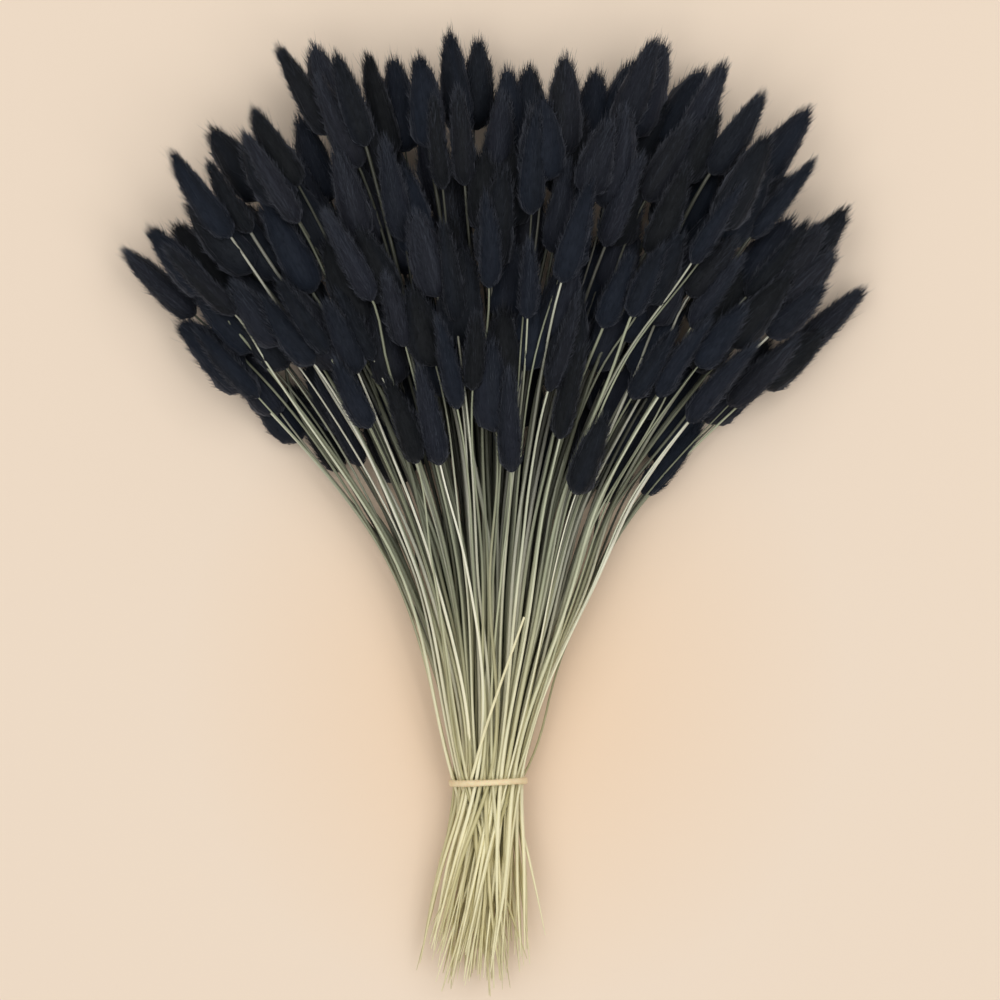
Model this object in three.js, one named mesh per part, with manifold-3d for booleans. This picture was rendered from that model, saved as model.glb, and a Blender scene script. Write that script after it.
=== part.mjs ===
// A tied bunch of dried bunny tail grass, lying on a table.
// Millimetres. +Z is up, +Y runs from the tie towards the heads.
// The origin lies under the tie band, on the flat of the band that touches the table.
import * as THREE from "three";
import Module from "manifold-3d";

// Bundle at the tie: half the width and the height that the stem centres fill
const TIE_HALF_WIDTH = 17.3;
const TIE_HEIGHT = 27;
// Fan above the tie: half width and height grow with y by a first and a second term
const FAN_OPEN = 0.13;
const FAN_CURVE = 0.0021;
const RISE_OPEN = 0.13;
const RISE_CURVE = 0.0002;
// The fan leans a little to the right, and its round section sags flat on the table
const LEAN = 0.025;
const SAG = 0.5;
const SETTLE_LENGTH = 150;
const CHORD_FLOOR = 0.03;
const EDGE = 1.05;

// Outline that the tips of the heads reach, seen from above
const ARCH_CENTRE_X = 7;
const ARCH_CENTRE_Y = 200;
const ARCH_HALF_WIDTH = 192;
const ARCH_HEIGHT = 184;
const ARCH_POWER = 2.5;

// Heads
const PLANT_SEED = 13;
const ROW_COUNT = 9;
const FIRST_ROW_Y = 152;
const ROW_STEP = 24;
const ROW_JITTER = 11;
const SIDE_JITTER = 3;
const HEAD_SPACING = 11.5;
// Layers of the pile: the heads of a row take theirs by the golden ratio
const GOLDEN = 0.6180339887;
const ROW_PHASE = 0.39;
const LOWEST_LAYER = 0.02;
const FRONT_ROWS = 2;
const UNDER_SHARE = 0.7;
const UNDER_LAYERS = 0.4;
const LAYER_FALL = 0.085;
const LAYER_SPREAD = 0.5;
// How far a head leans off its stem's line, in degrees, and its sizes
const YAW = 7;
const PITCH = 4;
const HEAD_LENGTH = [37, 53];
const HEAD_RADIUS = [6.6, 9.2];
const TUFT_PEAK = 1.08;
const TUFT_VALLEY = 0.93;
const TUFT_REACH = 0.05;
const TUFT_RINGS = [0.14, 0.58];
const TIP_LIFT = 0.4;
const HEAD_SIDES = 6;
const PRESSED = 0.86;

// Stems
const STEM_SIDES = 3;
const STEM_RADIUS_TIE = 1.15;
const STEM_RADIUS_HEAD = 0.85;
const STEM_STATIONS = [0, 110, 210];
const LAST_BEND = 16;
const SLOPE_REACH = 6;
const SEAT_GAP = 0.3;
const SLANT_ROOM = 1.3;
// Where a head is looked at for stems that dent it, and how near a stem must be
const DENT_LOOKS = 16;
const DENT_ROOM = 1.6;
// Cut ends below the tie
const TAIL_SEED = 29;
const TAIL_LENGTH = [82, 107];
const TAIL_SPREAD = [0.97, 1.03];
const TAIL_TWIST = 40;
const TAIL_HALF_WIDTH = 25;
const TAIL_HALF_HEIGHT = 17.5;
const TAIL_MIDDLE = 18.6;
// A loose straw, tucked under the band
const STRAW_RADIUS = 1;
const STRAW_PATH = [
  [-9, 0, 28],
  [-3, 22, 34.5],
  [18, 84, 46],
];
// The pressed heart of the bundle, hidden under the band
const CORE_HALF_LENGTH = 1.4;
const CORE_OVER = 0.5;
const CORE_SIDES = 12;

// Band
const BAND_CLEAR = 1;
const BAND_THICK = 1.2;
const BAND_WIDTH = 3.2;
const BAND_SEGMENTS = 24;
const BAND_TURN = 3.5;
// Section of the band, as shares of its thickness and width: flat inside, with bevelled outer edges
const BAND_SECTION = [
  [0, -0.5],
  [0, 0.5],
  [0.7, 0.5],
  [1, 0.25],
  [1, -0.25],
  [0.7, -0.5],
];

// Settling of the heads against each other and against the stems, more upwards than sideways
const SETTLE_STEPS = 80;
const NESTLE_STEPS = 180;
const REST_GAP = 1.4;
const STEM_ROOM = 3.2;
const PUSH = 0.3;
const SIDE_PUSH = 0.5;
const STEP_LIMIT = 1.2;
const HOLD = 0.012;
const SCRAP_VOLUME = 1;
// A clump: how many there are, the most heads in one, how deep heads lean and how uneven they may sit
const CLUMP_COUNT = 36;
const CLUMP_MOST = 12;
const NESTLE = 0.745;
const UNEVEN = 0.12;
// Where along a head its nearness is looked at, and the stout stretch of the head that it leans on
const LOOK_SHARES = [0.1, 0.38, 0.72];
const STOUT = [0.08, 0.8];
// Spacing of the stems inside the band
const TIE_STEPS = 200;
const TIE_SPACING = 1.86;
const TINY = 1e-6;

const STEM_CENTRE_LOW = BAND_THICK + BAND_CLEAR + STEM_RADIUS_TIE;
const TIE_MIDDLE = STEM_CENTRE_LOW + TIE_HEIGHT / 2;
const degrees = THREE.MathUtils.degToRad;
const clamp = THREE.MathUtils.clamp;

// Random numbers that repeat: each call gives the next one between a low and a high value
function makeRandom(seed) {
  const [factor, prime] = [16807, 2147483647];
  let state = seed;
  return (low, high) => {
    state = (state * factor) % prime;
    return low + ((high - low) * state) / prime;
  };
}

// Half width of the fan, height of the pile and how far it has sagged, at a distance y from the tie
function fanHalfWidth(y) {
  return TIE_HALF_WIDTH + FAN_OPEN * y + FAN_CURVE * y * y;
}

function pileHeight(y) {
  return TIE_HEIGHT + RISE_OPEN * y + RISE_CURVE * y * y;
}

function settled(y) {
  const k = clamp(y / SETTLE_LENGTH, 0, 1);
  return k * k * (3 - 2 * k);
}

// Half the chord of the fan's section at a share of its height
function chord(share, y) {
  const widest = 1 - SAG * settled(y);
  const s = (1 + widest) * share - widest;
  return fanHalfWidth(y) * Math.sqrt(Math.max(1 - s * s, CHORD_FLOOR));
}

// The streamline of a stem that keeps its share across and its share of the height
function streamline(across, share, y) {
  return [LEAN * y + across * chord(share, y), STEM_CENTRE_LOW + pileHeight(y) * share];
}

function archHeight(x) {
  const a = Math.min(Math.abs(x - ARCH_CENTRE_X) / ARCH_HALF_WIDTH, 1);
  return ARCH_CENTRE_Y + ARCH_HEIGHT * (1 - a ** ARCH_POWER) ** (1 / ARCH_POWER);
}

// How far out, to each side, a head whose base is at y can stand with its tip inside the outline
function rowHalfWidth(y) {
  const length = (HEAD_LENGTH[0] + HEAD_LENGTH[1]) / 2;
  const outermost = EDGE * fanHalfWidth(y);
  let out = 0;
  while (out < outermost) {
    const slope = (out / outermost) * (FAN_OPEN + 2 * FAN_CURVE * y);
    const along = length / Math.hypot(1, slope);
    if (y + along > archHeight(ARCH_CENTRE_X + out + along * slope)) {
      break;
    }
    out += 1;
  }
  return out;
}

// Rows of heads, even across the fan
function plantHeads() {
  const random = makeRandom(PLANT_SEED);
  const heads = [];
  for (let row = 0; row < ROW_COUNT; row += 1) {
    const rowY = FIRST_ROW_Y + ROW_STEP * row;
    const half = rowHalfWidth(rowY);
    const count = Math.round((2 * half) / HEAD_SPACING);
    for (let i = 0; i < count; i += 1) {
      const x = ((2 * (i + 0.5)) / count - 1) * half + random(-SIDE_JITTER, SIDE_JITTER);
      heads.push(plantHead(x, rowY, layerOf(row, (i * GOLDEN + row * ROW_PHASE) % 1), random));
    }
  }
  return heads;
}

// Share of the pile's height. Rows nearer to the band lie on the farther ones,
// but most heads of the front rows lie under the stems of the rest.
function layerOf(row, turn) {
  if (row < FRONT_ROWS) {
    return turn < UNDER_SHARE ? LOWEST_LAYER + UNDER_LAYERS * turn : 1;
  }
  const high = 1 - LAYER_FALL * (row - FRONT_ROWS);
  return Math.max(high - LAYER_SPREAD * (1 - turn), LOWEST_LAYER);
}

function plantHead(x, rowY, layer, random) {
  const y = rowY + random(-ROW_JITTER, ROW_JITTER);
  const length = random(...HEAD_LENGTH);
  const radius = random(...HEAD_RADIUS);
  const out = Math.min(Math.abs(x) / fanHalfWidth(y), 1);
  const widest = 1 - SAG;
  const roof = (widest + Math.sqrt(1 - out * out)) / (1 + widest);
  const share = layer * roof;
  const across = clamp(x / chord(share, y), -EDGE, EDGE);
  return { across, share, y, length, radius, yaw: random(-YAW, YAW), pitch: random(-PITCH, PITCH) };
}

// Radius of a head, as a share of its full radius, at a share of its length
const PROFILE = [
  [0, 0.35],
  [0.08, 0.75],
  [0.25, 1],
  [0.5, 0.95],
  [0.75, 0.72],
  [0.92, 0.4],
  [1, 0.05],
];

function profile(share) {
  for (let k = 1; k < PROFILE.length; k += 1) {
    const [s1, r1] = PROFILE[k];
    if (share <= s1) {
      const [s0, r0] = PROFILE[k - 1];
      return r0 + ((r1 - r0) * (share - s0)) / (s1 - s0);
    }
  }
  return 0;
}

// Give each head its stem: bends at the common stations, then the seat of the head
function raiseStems(heads) {
  for (const head of heads) {
    const stations = STEM_STATIONS.filter((y) => y < head.y - LAST_BEND);
    head.ys = [...stations, head.y];
    head.points = head.ys.map((y) => streamline(head.across, head.share, y));
    head.home = head.points.map((p) => [...p]);
    const [x0, z0] = streamline(head.across, head.share, head.y - SLOPE_REACH);
    const [x1, z1] = streamline(head.across, head.share, head.y + SLOPE_REACH);
    const slopeX = (x1 - x0) / (2 * SLOPE_REACH) + Math.tan(degrees(head.yaw));
    const slopeZ = (z1 - z0) / (2 * SLOPE_REACH) + Math.tan(degrees(head.pitch));
    head.direction = new THREE.Vector3(slopeX, 1, slopeZ).normalize();
  }
}

// Space the stems evenly inside the band
function packTie(heads) {
  const roomX = TIE_HALF_WIDTH;
  const roomZ = TIE_HEIGHT / 2;
  const spacing = TIE_SPACING * Math.sqrt((roomX * roomZ) / heads.length);
  const seats = heads.map((head) => [head.points[0][0], head.points[0][1] - TIE_MIDDLE]);
  for (let step = 0; step < TIE_STEPS; step += 1) {
    const moves = seats.map(() => [0, 0]);
    for (let i = 0; i < seats.length; i += 1) {
      for (let j = i + 1; j < seats.length; j += 1) {
        const dx = seats[i][0] - seats[j][0];
        const dz = seats[i][1] - seats[j][1];
        const distance = Math.hypot(dx, dz) + TINY;
        if (distance < spacing) {
          const push = (PUSH * (spacing - distance)) / distance;
          moves[i][0] += push * dx;
          moves[i][1] += push * dz;
          moves[j][0] -= push * dx;
          moves[j][1] -= push * dz;
        }
      }
    }
    seats.forEach((seat, i) => {
      seat[0] += moves[i][0];
      seat[1] += moves[i][1];
      const out = Math.hypot(seat[0] / roomX, seat[1] / roomZ);
      if (out > 1) {
        seat[0] /= out;
        seat[1] /= out;
      }
    });
  }
  heads.forEach((head, i) => {
    head.points[0] = [seats[i][0], seats[i][1] + TIE_MIDDLE];
  });
}

// The stretch of a stem that a height y falls in, and how far along it
function stretchAt(head, y) {
  let k = 0;
  while (k < head.ys.length - 2 && y > head.ys[k + 1]) {
    k += 1;
  }
  return [k, (y - head.ys[k]) / (head.ys[k + 1] - head.ys[k])];
}

function lookPoint(head, share) {
  const seat = head.points[head.points.length - 1];
  const reach = share * head.length;
  const { x, y, z } = head.direction;
  return [seat[0] + reach * x, head.y + reach * y, seat[1] + reach * z];
}

// What of another head or its stem is met at y: its place, its radius and where a push on it goes
function metAt(other, y) {
  if (y < other.y) {
    const [k, w] = stretchAt(other, y);
    const [a, b] = [other.points[k], other.points[k + 1]];
    const [x, z] = [0, 1].map((axis) => a[axis] + (b[axis] - a[axis]) * w);
    return { x, z, radius: STEM_RADIUS_HEAD, k, w, isHead: false, stout: false };
  }
  const share = (y - other.y) / (other.length * other.direction.y);
  if (share >= 1) {
    return null;
  }
  const [x, , z] = lookPoint(other, share);
  const stout = share > STOUT[0] && share < STOUT[1];
  const radius = other.radius * profile(share);
  return { x, z, radius, k: other.points.length - 2, w: 1, isHead: true, stout };
}

// Distance between the axes across the length of a head, and the vector from the other to it
function apart(head, place, met) {
  const dx = (place[0] - met.x) * Math.hypot(head.direction.y, head.direction.z);
  const dz = place[2] - met.z;
  return [dx, dz, Math.hypot(dx, dz) + TINY];
}

// One step of settling: heads push stems and other heads aside, and lean on those they are linked to
function settleStep(heads, links) {
  const moves = heads.map((head) => head.points.map(() => [0, 0]));
  for (let i = 0; i < heads.length; i += 1) {
    for (let j = 0; j < heads.length; j += 1) {
      if (i !== j) {
        pressApart(moves, heads, i, j, links.has(i * heads.length + j));
      }
    }
  }
  spreadStems(heads, moves);
  heads.forEach((head, i) => applyMoves(head, moves[i]));
}

function pressApart(moves, heads, i, j, leans) {
  const [head, other] = [heads[i], heads[j]];
  const kin = head.clump === other.clump;
  let nearest = null;
  for (const share of LOOK_SHARES) {
    const place = lookPoint(head, share);
    const met = metAt(other, place[1]);
    if (met === null) {
      continue;
    }
    const [dx, dz, distance] = apart(head, place, met);
    const radii = head.radius * profile(share) + met.radius;
    const over = (kin && met.isHead ? NESTLE * radii : radii + REST_GAP) - distance;
    const shift = { over, dx: (SIDE_PUSH * dx) / distance, dz: dz / distance, met };
    if (over > 0) {
      shove(moves, i, j, shift);
    }
    if (met.stout && (nearest === null || over > nearest.over)) {
      nearest = shift;
    }
  }
  if (leans && nearest !== null && nearest.over < 0) {
    shove(moves, i, j, nearest);
  }
}

// Stems that bend at the same station keep a little room between them
function spreadStems(heads, moves) {
  for (let k = 1; k < STEM_STATIONS.length; k += 1) {
    for (let i = 0; i < heads.length; i += 1) {
      for (let j = i + 1; j < heads.length; j += 1) {
        if (k < heads[i].points.length - 1 && k < heads[j].points.length - 1) {
          const [a, b] = [heads[i].points[k], heads[j].points[k]];
          const distance = Math.hypot(a[0] - b[0], a[1] - b[1]) + TINY;
          const over = Math.max(STEM_ROOM - distance, 0) / distance;
          for (const axis of [0, 1]) {
            const move = over * (a[axis] - b[axis]);
            moves[i][k][axis] += move;
            moves[j][k][axis] -= move;
          }
        }
      }
    }
  }
}

function shove(moves, i, j, shift) {
  const { over, dx, dz, met } = shift;
  const last = moves[i].length - 1;
  moves[i][last][0] += over * dx;
  moves[i][last][1] += over * dz;
  moves[j][met.k][0] -= over * dx * (1 - met.w);
  moves[j][met.k][1] -= over * dz * (1 - met.w);
  moves[j][met.k + 1][0] -= over * dx * met.w;
  moves[j][met.k + 1][1] -= over * dz * met.w;
}

function applyMoves(head, moves) {
  const last = head.points.length - 1;
  for (let k = 1; k <= last; k += 1) {
    const point = head.points[k];
    const home = head.home[k];
    point[0] += clamp(PUSH * moves[k][0], -STEP_LIMIT, STEP_LIMIT) + HOLD * (home[0] - point[0]);
    point[1] += clamp(PUSH * moves[k][1], -STEP_LIMIT, STEP_LIMIT) + HOLD * (home[1] - point[1]);
    point[1] = Math.max(point[1], STEM_RADIUS_TIE);
  }
  let sunk = 0;
  for (const share of LOOK_SHARES) {
    const z = lookPoint(head, share)[2];
    sunk = Math.max(sunk, PRESSED * head.radius * profile(share) - z);
  }
  head.points[last][1] += sunk;
}

// Gap between the sides of two heads where both are stout, negative where they meet
function gapBetween(a, b) {
  let gap = Infinity;
  for (const share of LOOK_SHARES) {
    const place = lookPoint(a, share);
    const met = metAt(b, place[1]);
    if (met !== null && met.stout) {
      gap = Math.min(gap, apart(a, place, met)[2] - a.radius * profile(share) - met.radius);
    }
  }
  return gap;
}

// Pairs of heads, the easiest to lean on each other first
function nearPairs(heads) {
  const pairs = [];
  heads.forEach((head, i) => {
    heads.forEach((other, j) => {
      if (i !== j) {
        pairs.push([gapBetween(head, other) + UNEVEN * Math.abs(head.y - other.y), i, j]);
      }
    });
  });
  return pairs.sort((a, b) => a[0] - b[0]);
}

// Gather the closest heads into clumps, and link the pairs that lean on each other
function linkClumps(heads) {
  const links = new Set();
  let left = heads.length;
  for (const [, i, j] of nearPairs(heads)) {
    const [kept, gone] = [heads[i].clump, heads[j].clump];
    const size = heads.filter((head) => head.clump === kept || head.clump === gone).length;
    if (left > CLUMP_COUNT && kept !== gone && size <= CLUMP_MOST) {
      heads.filter((head) => head.clump === gone).forEach((head) => {
        head.clump = kept;
      });
      links.add(i * heads.length + j);
      links.add(j * heads.length + i);
      left -= 1;
    }
  }
  return links;
}

function layOutHeads() {
  const heads = plantHeads();
  heads.forEach((head, i) => {
    head.clump = i;
  });
  raiseStems(heads);
  packTie(heads);
  for (let step = 0; step < SETTLE_STEPS; step += 1) {
    settleStep(heads, new Set());
  }
  const links = linkClumps(heads);
  for (let step = 0; step < NESTLE_STEPS; step += 1) {
    settleStep(heads, links);
  }
  return heads;
}

// Closed mesh from rings of points: flat ends, or a last ring that closes to a point
function skinRings(rings, tip) {
  const sides = rings[0].length;
  const positions = rings.flat();
  const faces = [];
  for (let r = 0; r + 1 < rings.length; r += 1) {
    for (let k = 0; k < sides; k += 1) {
      const next = (k + 1) % sides;
      const [a, b] = [r * sides + k, r * sides + next];
      const [c, d] = [a + sides, b + sides];
      faces.push([a, b, d], [a, d, c]);
    }
  }
  for (let k = 1; k + 1 < sides; k += 1) {
    faces.push([0, k + 1, k]);
  }
  const top = (rings.length - 1) * sides;
  if (tip) {
    positions.push(tip);
    for (let k = 0; k < sides; k += 1) {
      faces.push([top + k, top + ((k + 1) % sides), positions.length - 1]);
    }
  } else {
    for (let k = 1; k + 1 < sides; k += 1) {
      faces.push([top, top + k, top + k + 1]);
    }
  }
  return { positions, faces };
}

// A head: rings of pointed tufts that stand out of the body by turns, pressed flat at the table
function headSkin(head) {
  const { direction, length, radius } = head;
  const seat = head.points[head.points.length - 1];
  const base = new THREE.Vector3(seat[0], head.y, seat[1]);
  const side = new THREE.Vector3().crossVectors(direction, new THREE.Vector3(0, 0, 1)).normalize();
  const up = new THREE.Vector3().crossVectors(side, direction).normalize();
  const ring = (share, phase, tufted) => {
    const points = [];
    for (let k = 0; k < HEAD_SIDES; k += 1) {
      const angle = (-(k + phase) / HEAD_SIDES) * 2 * Math.PI;
      const peak = tufted && k % 2 === 0;
      const reach = radius * profile(share) * (peak ? TUFT_PEAK : TUFT_VALLEY);
      const along = length * (share + (peak ? TUFT_REACH : 0));
      const point = base.clone().addScaledVector(direction, along);
      point.addScaledVector(side, reach * Math.cos(angle));
      point.addScaledVector(up, reach * Math.sin(angle));
      point.z = Math.max(point.z, 0);
      points.push(point);
    }
    return points;
  };
  const rings = [ring(0, 0, false), ...TUFT_RINGS.map((share, k) => ring(share, k % 2, true))];
  const tip = base.clone().addScaledVector(direction, length);
  tip.z = Math.max(tip.z, TIP_LIFT);
  return skinRings(rings, tip);
}

// A stem from its cut end, through the tie, to the seat of its head
function stemSkin(head, tail, thicker) {
  const last = head.points.length - 1;
  const slant = SLANT_ROOM * STEM_RADIUS_HEAD * Math.abs(head.direction.x);
  const seatY = head.y - SEAT_GAP - slant + thicker;
  const path = head.points.map((p, k) => [p[0], head.ys[k], p[1]]);
  const before = path[last - 1];
  const w = (seatY - before[1]) / (head.y - before[1]);
  path[last] = [0, 1, 2].map((axis) => before[axis] + (path[last][axis] - before[axis]) * w);
  path.unshift(tail);
  const rings = path.map((point, k) => {
    const taper = clamp(point[1] / head.y, 0, 1);
    const radius = STEM_RADIUS_TIE + (STEM_RADIUS_HEAD - STEM_RADIUS_TIE) * taper + thicker;
    const [from, to] = [path[Math.max(k - 1, 0)], path[Math.min(k + 1, path.length - 1)]];
    const slope = point[1] > STEM_STATIONS[1] ? (to[0] - from[0]) / (to[1] - from[1]) : 0;
    const ring = [];
    for (let n = 0; n < STEM_SIDES; n += 1) {
      const angle = (0.25 - n / STEM_SIDES) * 2 * Math.PI;
      const x = point[0] + radius * Math.cos(angle) * Math.hypot(1, slope);
      ring.push(new THREE.Vector3(x, point[1], point[2] + radius * Math.sin(angle)));
    }
    return ring;
  });
  return skinRings(rings, null);
}

// Where a stem is cut below the tie: the bundle twists, so that the stems cross, and opens a little
function tailPoint(head, random) {
  const u = head.points[0][0] / TIE_HALF_WIDTH;
  const v = (head.points[0][1] - TIE_MIDDLE) / (TIE_HEIGHT / 2);
  const length = random(...TAIL_LENGTH);
  const turn = degrees(TAIL_TWIST);
  const spread = random(...TAIL_SPREAD);
  const x = TAIL_HALF_WIDTH * spread * (u * Math.cos(turn) - v * Math.sin(turn));
  const z = TAIL_HALF_HEIGHT * (u * Math.sin(turn) + v * Math.cos(turn));
  return [x, -length, Math.max(TAIL_MIDDLE + z, STEM_RADIUS_TIE)];
}

// The heart of the bundle at the tie, where the pressed stems hold together
function coreSkin() {
  const rings = [-CORE_HALF_LENGTH, CORE_HALF_LENGTH].map((y) => {
    const ring = [];
    for (let k = 0; k < CORE_SIDES; k += 1) {
      const angle = (-k / CORE_SIDES) * 2 * Math.PI;
      const x = (TIE_HALF_WIDTH + STEM_RADIUS_TIE + CORE_OVER) * Math.cos(angle);
      const z = (TIE_HEIGHT / 2 + STEM_RADIUS_TIE + CORE_OVER) * Math.sin(angle);
      ring.push(new THREE.Vector3(x, y, TIE_MIDDLE + z));
    }
    return ring;
  });
  return skinRings(rings, null);
}

// A loose straw tucked under the band, which crosses over the stems
function strawSkin() {
  const rings = STRAW_PATH.map(([x, y, z]) => {
    const ring = [];
    for (let n = 0; n < STEM_SIDES; n += 1) {
      const angle = (0.25 - n / STEM_SIDES) * 2 * Math.PI;
      const [dx, dz] = [STRAW_RADIUS * Math.cos(angle), STRAW_RADIUS * Math.sin(angle)];
      ring.push(new THREE.Vector3(x + dx, y, z + dz));
    }
    return ring;
  });
  return skinRings(rings, null);
}

// The band round the bundle, with flats that bear on the table
function bandSkin() {
  const innerX = TIE_HALF_WIDTH + STEM_RADIUS_TIE + BAND_CLEAR;
  const innerZ = TIE_MIDDLE - BAND_THICK;
  const flat = Math.cos(Math.PI / BAND_SEGMENTS);
  const positions = [];
  const faces = [];
  for (let k = 0; k < BAND_SEGMENTS; k += 1) {
    const angle = ((k + 0.5) / BAND_SEGMENTS) * 2 * Math.PI - Math.PI / 2;
    BAND_SECTION.forEach(([out, along], n) => {
      const x = (innerX + out * BAND_THICK) * Math.cos(angle);
      const z = ((innerZ + out * BAND_THICK) * Math.sin(angle)) / flat;
      positions.push(new THREE.Vector3(x, along * BAND_WIDTH, TIE_MIDDLE + z));
      const a = k * BAND_SECTION.length + n;
      const b = k * BAND_SECTION.length + ((n + 1) % BAND_SECTION.length);
      const c = (a + BAND_SECTION.length) % (BAND_SEGMENTS * BAND_SECTION.length);
      const d = (b + BAND_SECTION.length) % (BAND_SEGMENTS * BAND_SECTION.length);
      faces.push([a, d, b], [a, c, d]);
    });
  }
  return { positions, faces };
}

const wasm = await Module();
wasm.setup();

function toSolid({ positions, faces }) {
  const vertProperties = new Float32Array(positions.flatMap((p) => [p.x, p.y, p.z]));
  const triVerts = new Uint32Array(faces.flat());
  return new wasm.Manifold(new wasm.Mesh({ numProp: 3, vertProperties, triVerts }));
}

function toGeometry(solid) {
  const mesh = solid.getMesh();
  const geometry = new THREE.BufferGeometry();
  geometry.setAttribute("position", new THREE.BufferAttribute(new Float32Array(mesh.vertProperties), 3));
  geometry.setIndex(new THREE.BufferAttribute(new Uint32Array(mesh.triVerts), 1));
  return geometry;
}

// Separate bodies of a solid, without the walls of any closed void, the largest first
function bodiesOf(solid) {
  const bodies = solid.decompose().filter((body) => body.volume() > SCRAP_VOLUME);
  return bodies.sort((a, b) => b.volume() - a.volume());
}

// Stems of other heads that a head would touch
function stemsThrough(head, heads) {
  return heads.filter((other) => {
    if (other === head) {
      return false;
    }
    for (let n = 0; n <= DENT_LOOKS; n += 1) {
      const place = lookPoint(head, n / DENT_LOOKS);
      const met = metAt(other, place[1]);
      if (met !== null && !met.isHead) {
        const room = head.radius * TUFT_PEAK * profile(n / DENT_LOOKS) + DENT_ROOM;
        if (apart(head, place, met)[2] < room) {
          return true;
        }
      }
    }
    return false;
  });
}

function buildBunch() {
  const heads = layOutHeads();
  const random = makeRandom(TAIL_SEED);
  for (const head of heads) {
    head.tail = tailPoint(head, random);
  }
  const stemSolids = heads.map((head) => toSolid(stemSkin(head, head.tail, 0)));
  const stems = bodiesOf(wasm.Manifold.union([toSolid(coreSkin()), toSolid(strawSkin()), ...stemSolids]))[0];
  const headSolids = heads.map((head) => {
    let solid = toSolid(headSkin(head));
    for (const other of stemsThrough(head, heads)) {
      solid = solid.subtract(toSolid(stemSkin(other, other.tail, SEAT_GAP)));
    }
    return bodiesOf(solid)[0];
  });
  const clumps = bodiesOf(wasm.Manifold.union(headSolids));
  return { stems, clumps, band: toSolid(bandSkin()) };
}

const COLOURS = { stems: 0x96966f, heads: 0x1b2030, band: 0xe8cda0 };

function addPiece(group, name, solid, colour, roughness) {
  const material = new THREE.MeshStandardMaterial({ color: colour, roughness, metalness: 0 });
  const mesh = new THREE.Mesh(toGeometry(solid), material);
  mesh.name = name;
  group.add(mesh);
  return mesh;
}

const bunch = new THREE.Group();
const { stems, clumps, band } = buildBunch();
addPiece(bunch, "stems", stems, COLOURS.stems, 0.75);
const bandMesh = addPiece(bunch, "band", band, COLOURS.band, 0.6);
bandMesh.rotation.z = degrees(BAND_TURN);
clumps.forEach((clump, n) => {
  addPiece(bunch, `heads_${String(n + 1).padStart(2, "0")}`, clump, COLOURS.heads, 0.95);
});

export default bunch;
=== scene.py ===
"""A tied bunch of dried bunny tail grass lying on a table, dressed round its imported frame.

Sizes are in millimetres unless a name or a docstring says metres. +Z is up and +Y runs from the band to
the heads.
"""

import logging
import math
from collections.abc import Callable, Mapping
from dataclasses import dataclass, field
from enum import Enum

import bpy
import numpy as np
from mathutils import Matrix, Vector
from mathutils.bvhtree import BVHTree


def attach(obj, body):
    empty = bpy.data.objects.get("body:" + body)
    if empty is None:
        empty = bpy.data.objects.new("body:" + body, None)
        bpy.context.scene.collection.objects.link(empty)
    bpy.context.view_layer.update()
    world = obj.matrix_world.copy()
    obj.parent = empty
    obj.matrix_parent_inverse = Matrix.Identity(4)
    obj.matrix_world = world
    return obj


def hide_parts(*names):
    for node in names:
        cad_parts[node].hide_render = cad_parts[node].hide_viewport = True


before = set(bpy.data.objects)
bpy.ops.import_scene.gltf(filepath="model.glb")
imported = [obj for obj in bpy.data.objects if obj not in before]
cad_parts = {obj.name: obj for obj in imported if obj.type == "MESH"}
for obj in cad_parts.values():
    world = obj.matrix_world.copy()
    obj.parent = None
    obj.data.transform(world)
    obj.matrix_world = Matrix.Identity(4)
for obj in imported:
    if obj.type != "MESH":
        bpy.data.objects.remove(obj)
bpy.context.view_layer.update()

MM = 0.001
TINY = 1e-6
FULL_TURN = 2 * math.pi
LOG = logging.getLogger("bunny_tails")
Array = np.ndarray
Colour = tuple[float, float, float, float]
Span = tuple[float, float]


# Small tools


def linear(red: int, green: int, blue: int) -> Colour:
    """Turn a colour of 0 to 255 as a screen shows it into the renderer's linear colour.

    Args:
        red: The red part.
        green: The green part.
        blue: The blue part.

    Returns:
        The linear colour with an alpha of 1.
    """
    parts = [c / 255 for c in (red, green, blue)]
    shown = [c / 12.92 if c <= 0.04045 else ((c + 0.055) / 1.055) ** 2.4 for c in parts]
    return (shown[0], shown[1], shown[2], 1.0)


def unit(vectors: Array) -> Array:
    """Return the vectors at a length of 1."""
    return vectors / np.maximum(np.linalg.norm(vectors, axis=-1, keepdims=True), TINY)


def rounded(wave: Array, power: float) -> Array:
    """Return a wave of -1 to 1 with its sign kept and its size raised to a power."""
    return np.sign(wave) * np.abs(wave) ** power


def angles(count: int) -> Array:
    """Return equal turns round a circle."""
    return np.arange(count) / count * FULL_TURN


class Draw:
    """Random numbers of the layout rule, the same ones as in the part's source."""

    FACTOR = 16807
    MODULUS = 2147483647

    def __init__(self, seed: int) -> None:
        """Start at a seed."""
        self.state = seed

    def __call__(self, low: float, high: float) -> float:
        """Return the next number between low and high."""
        self.state = (self.state * self.FACTOR) % self.MODULUS
        return low + ((high - low) * self.state) / self.MODULUS


# The layout rule of the part's source: where each head and its stem lie


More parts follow.
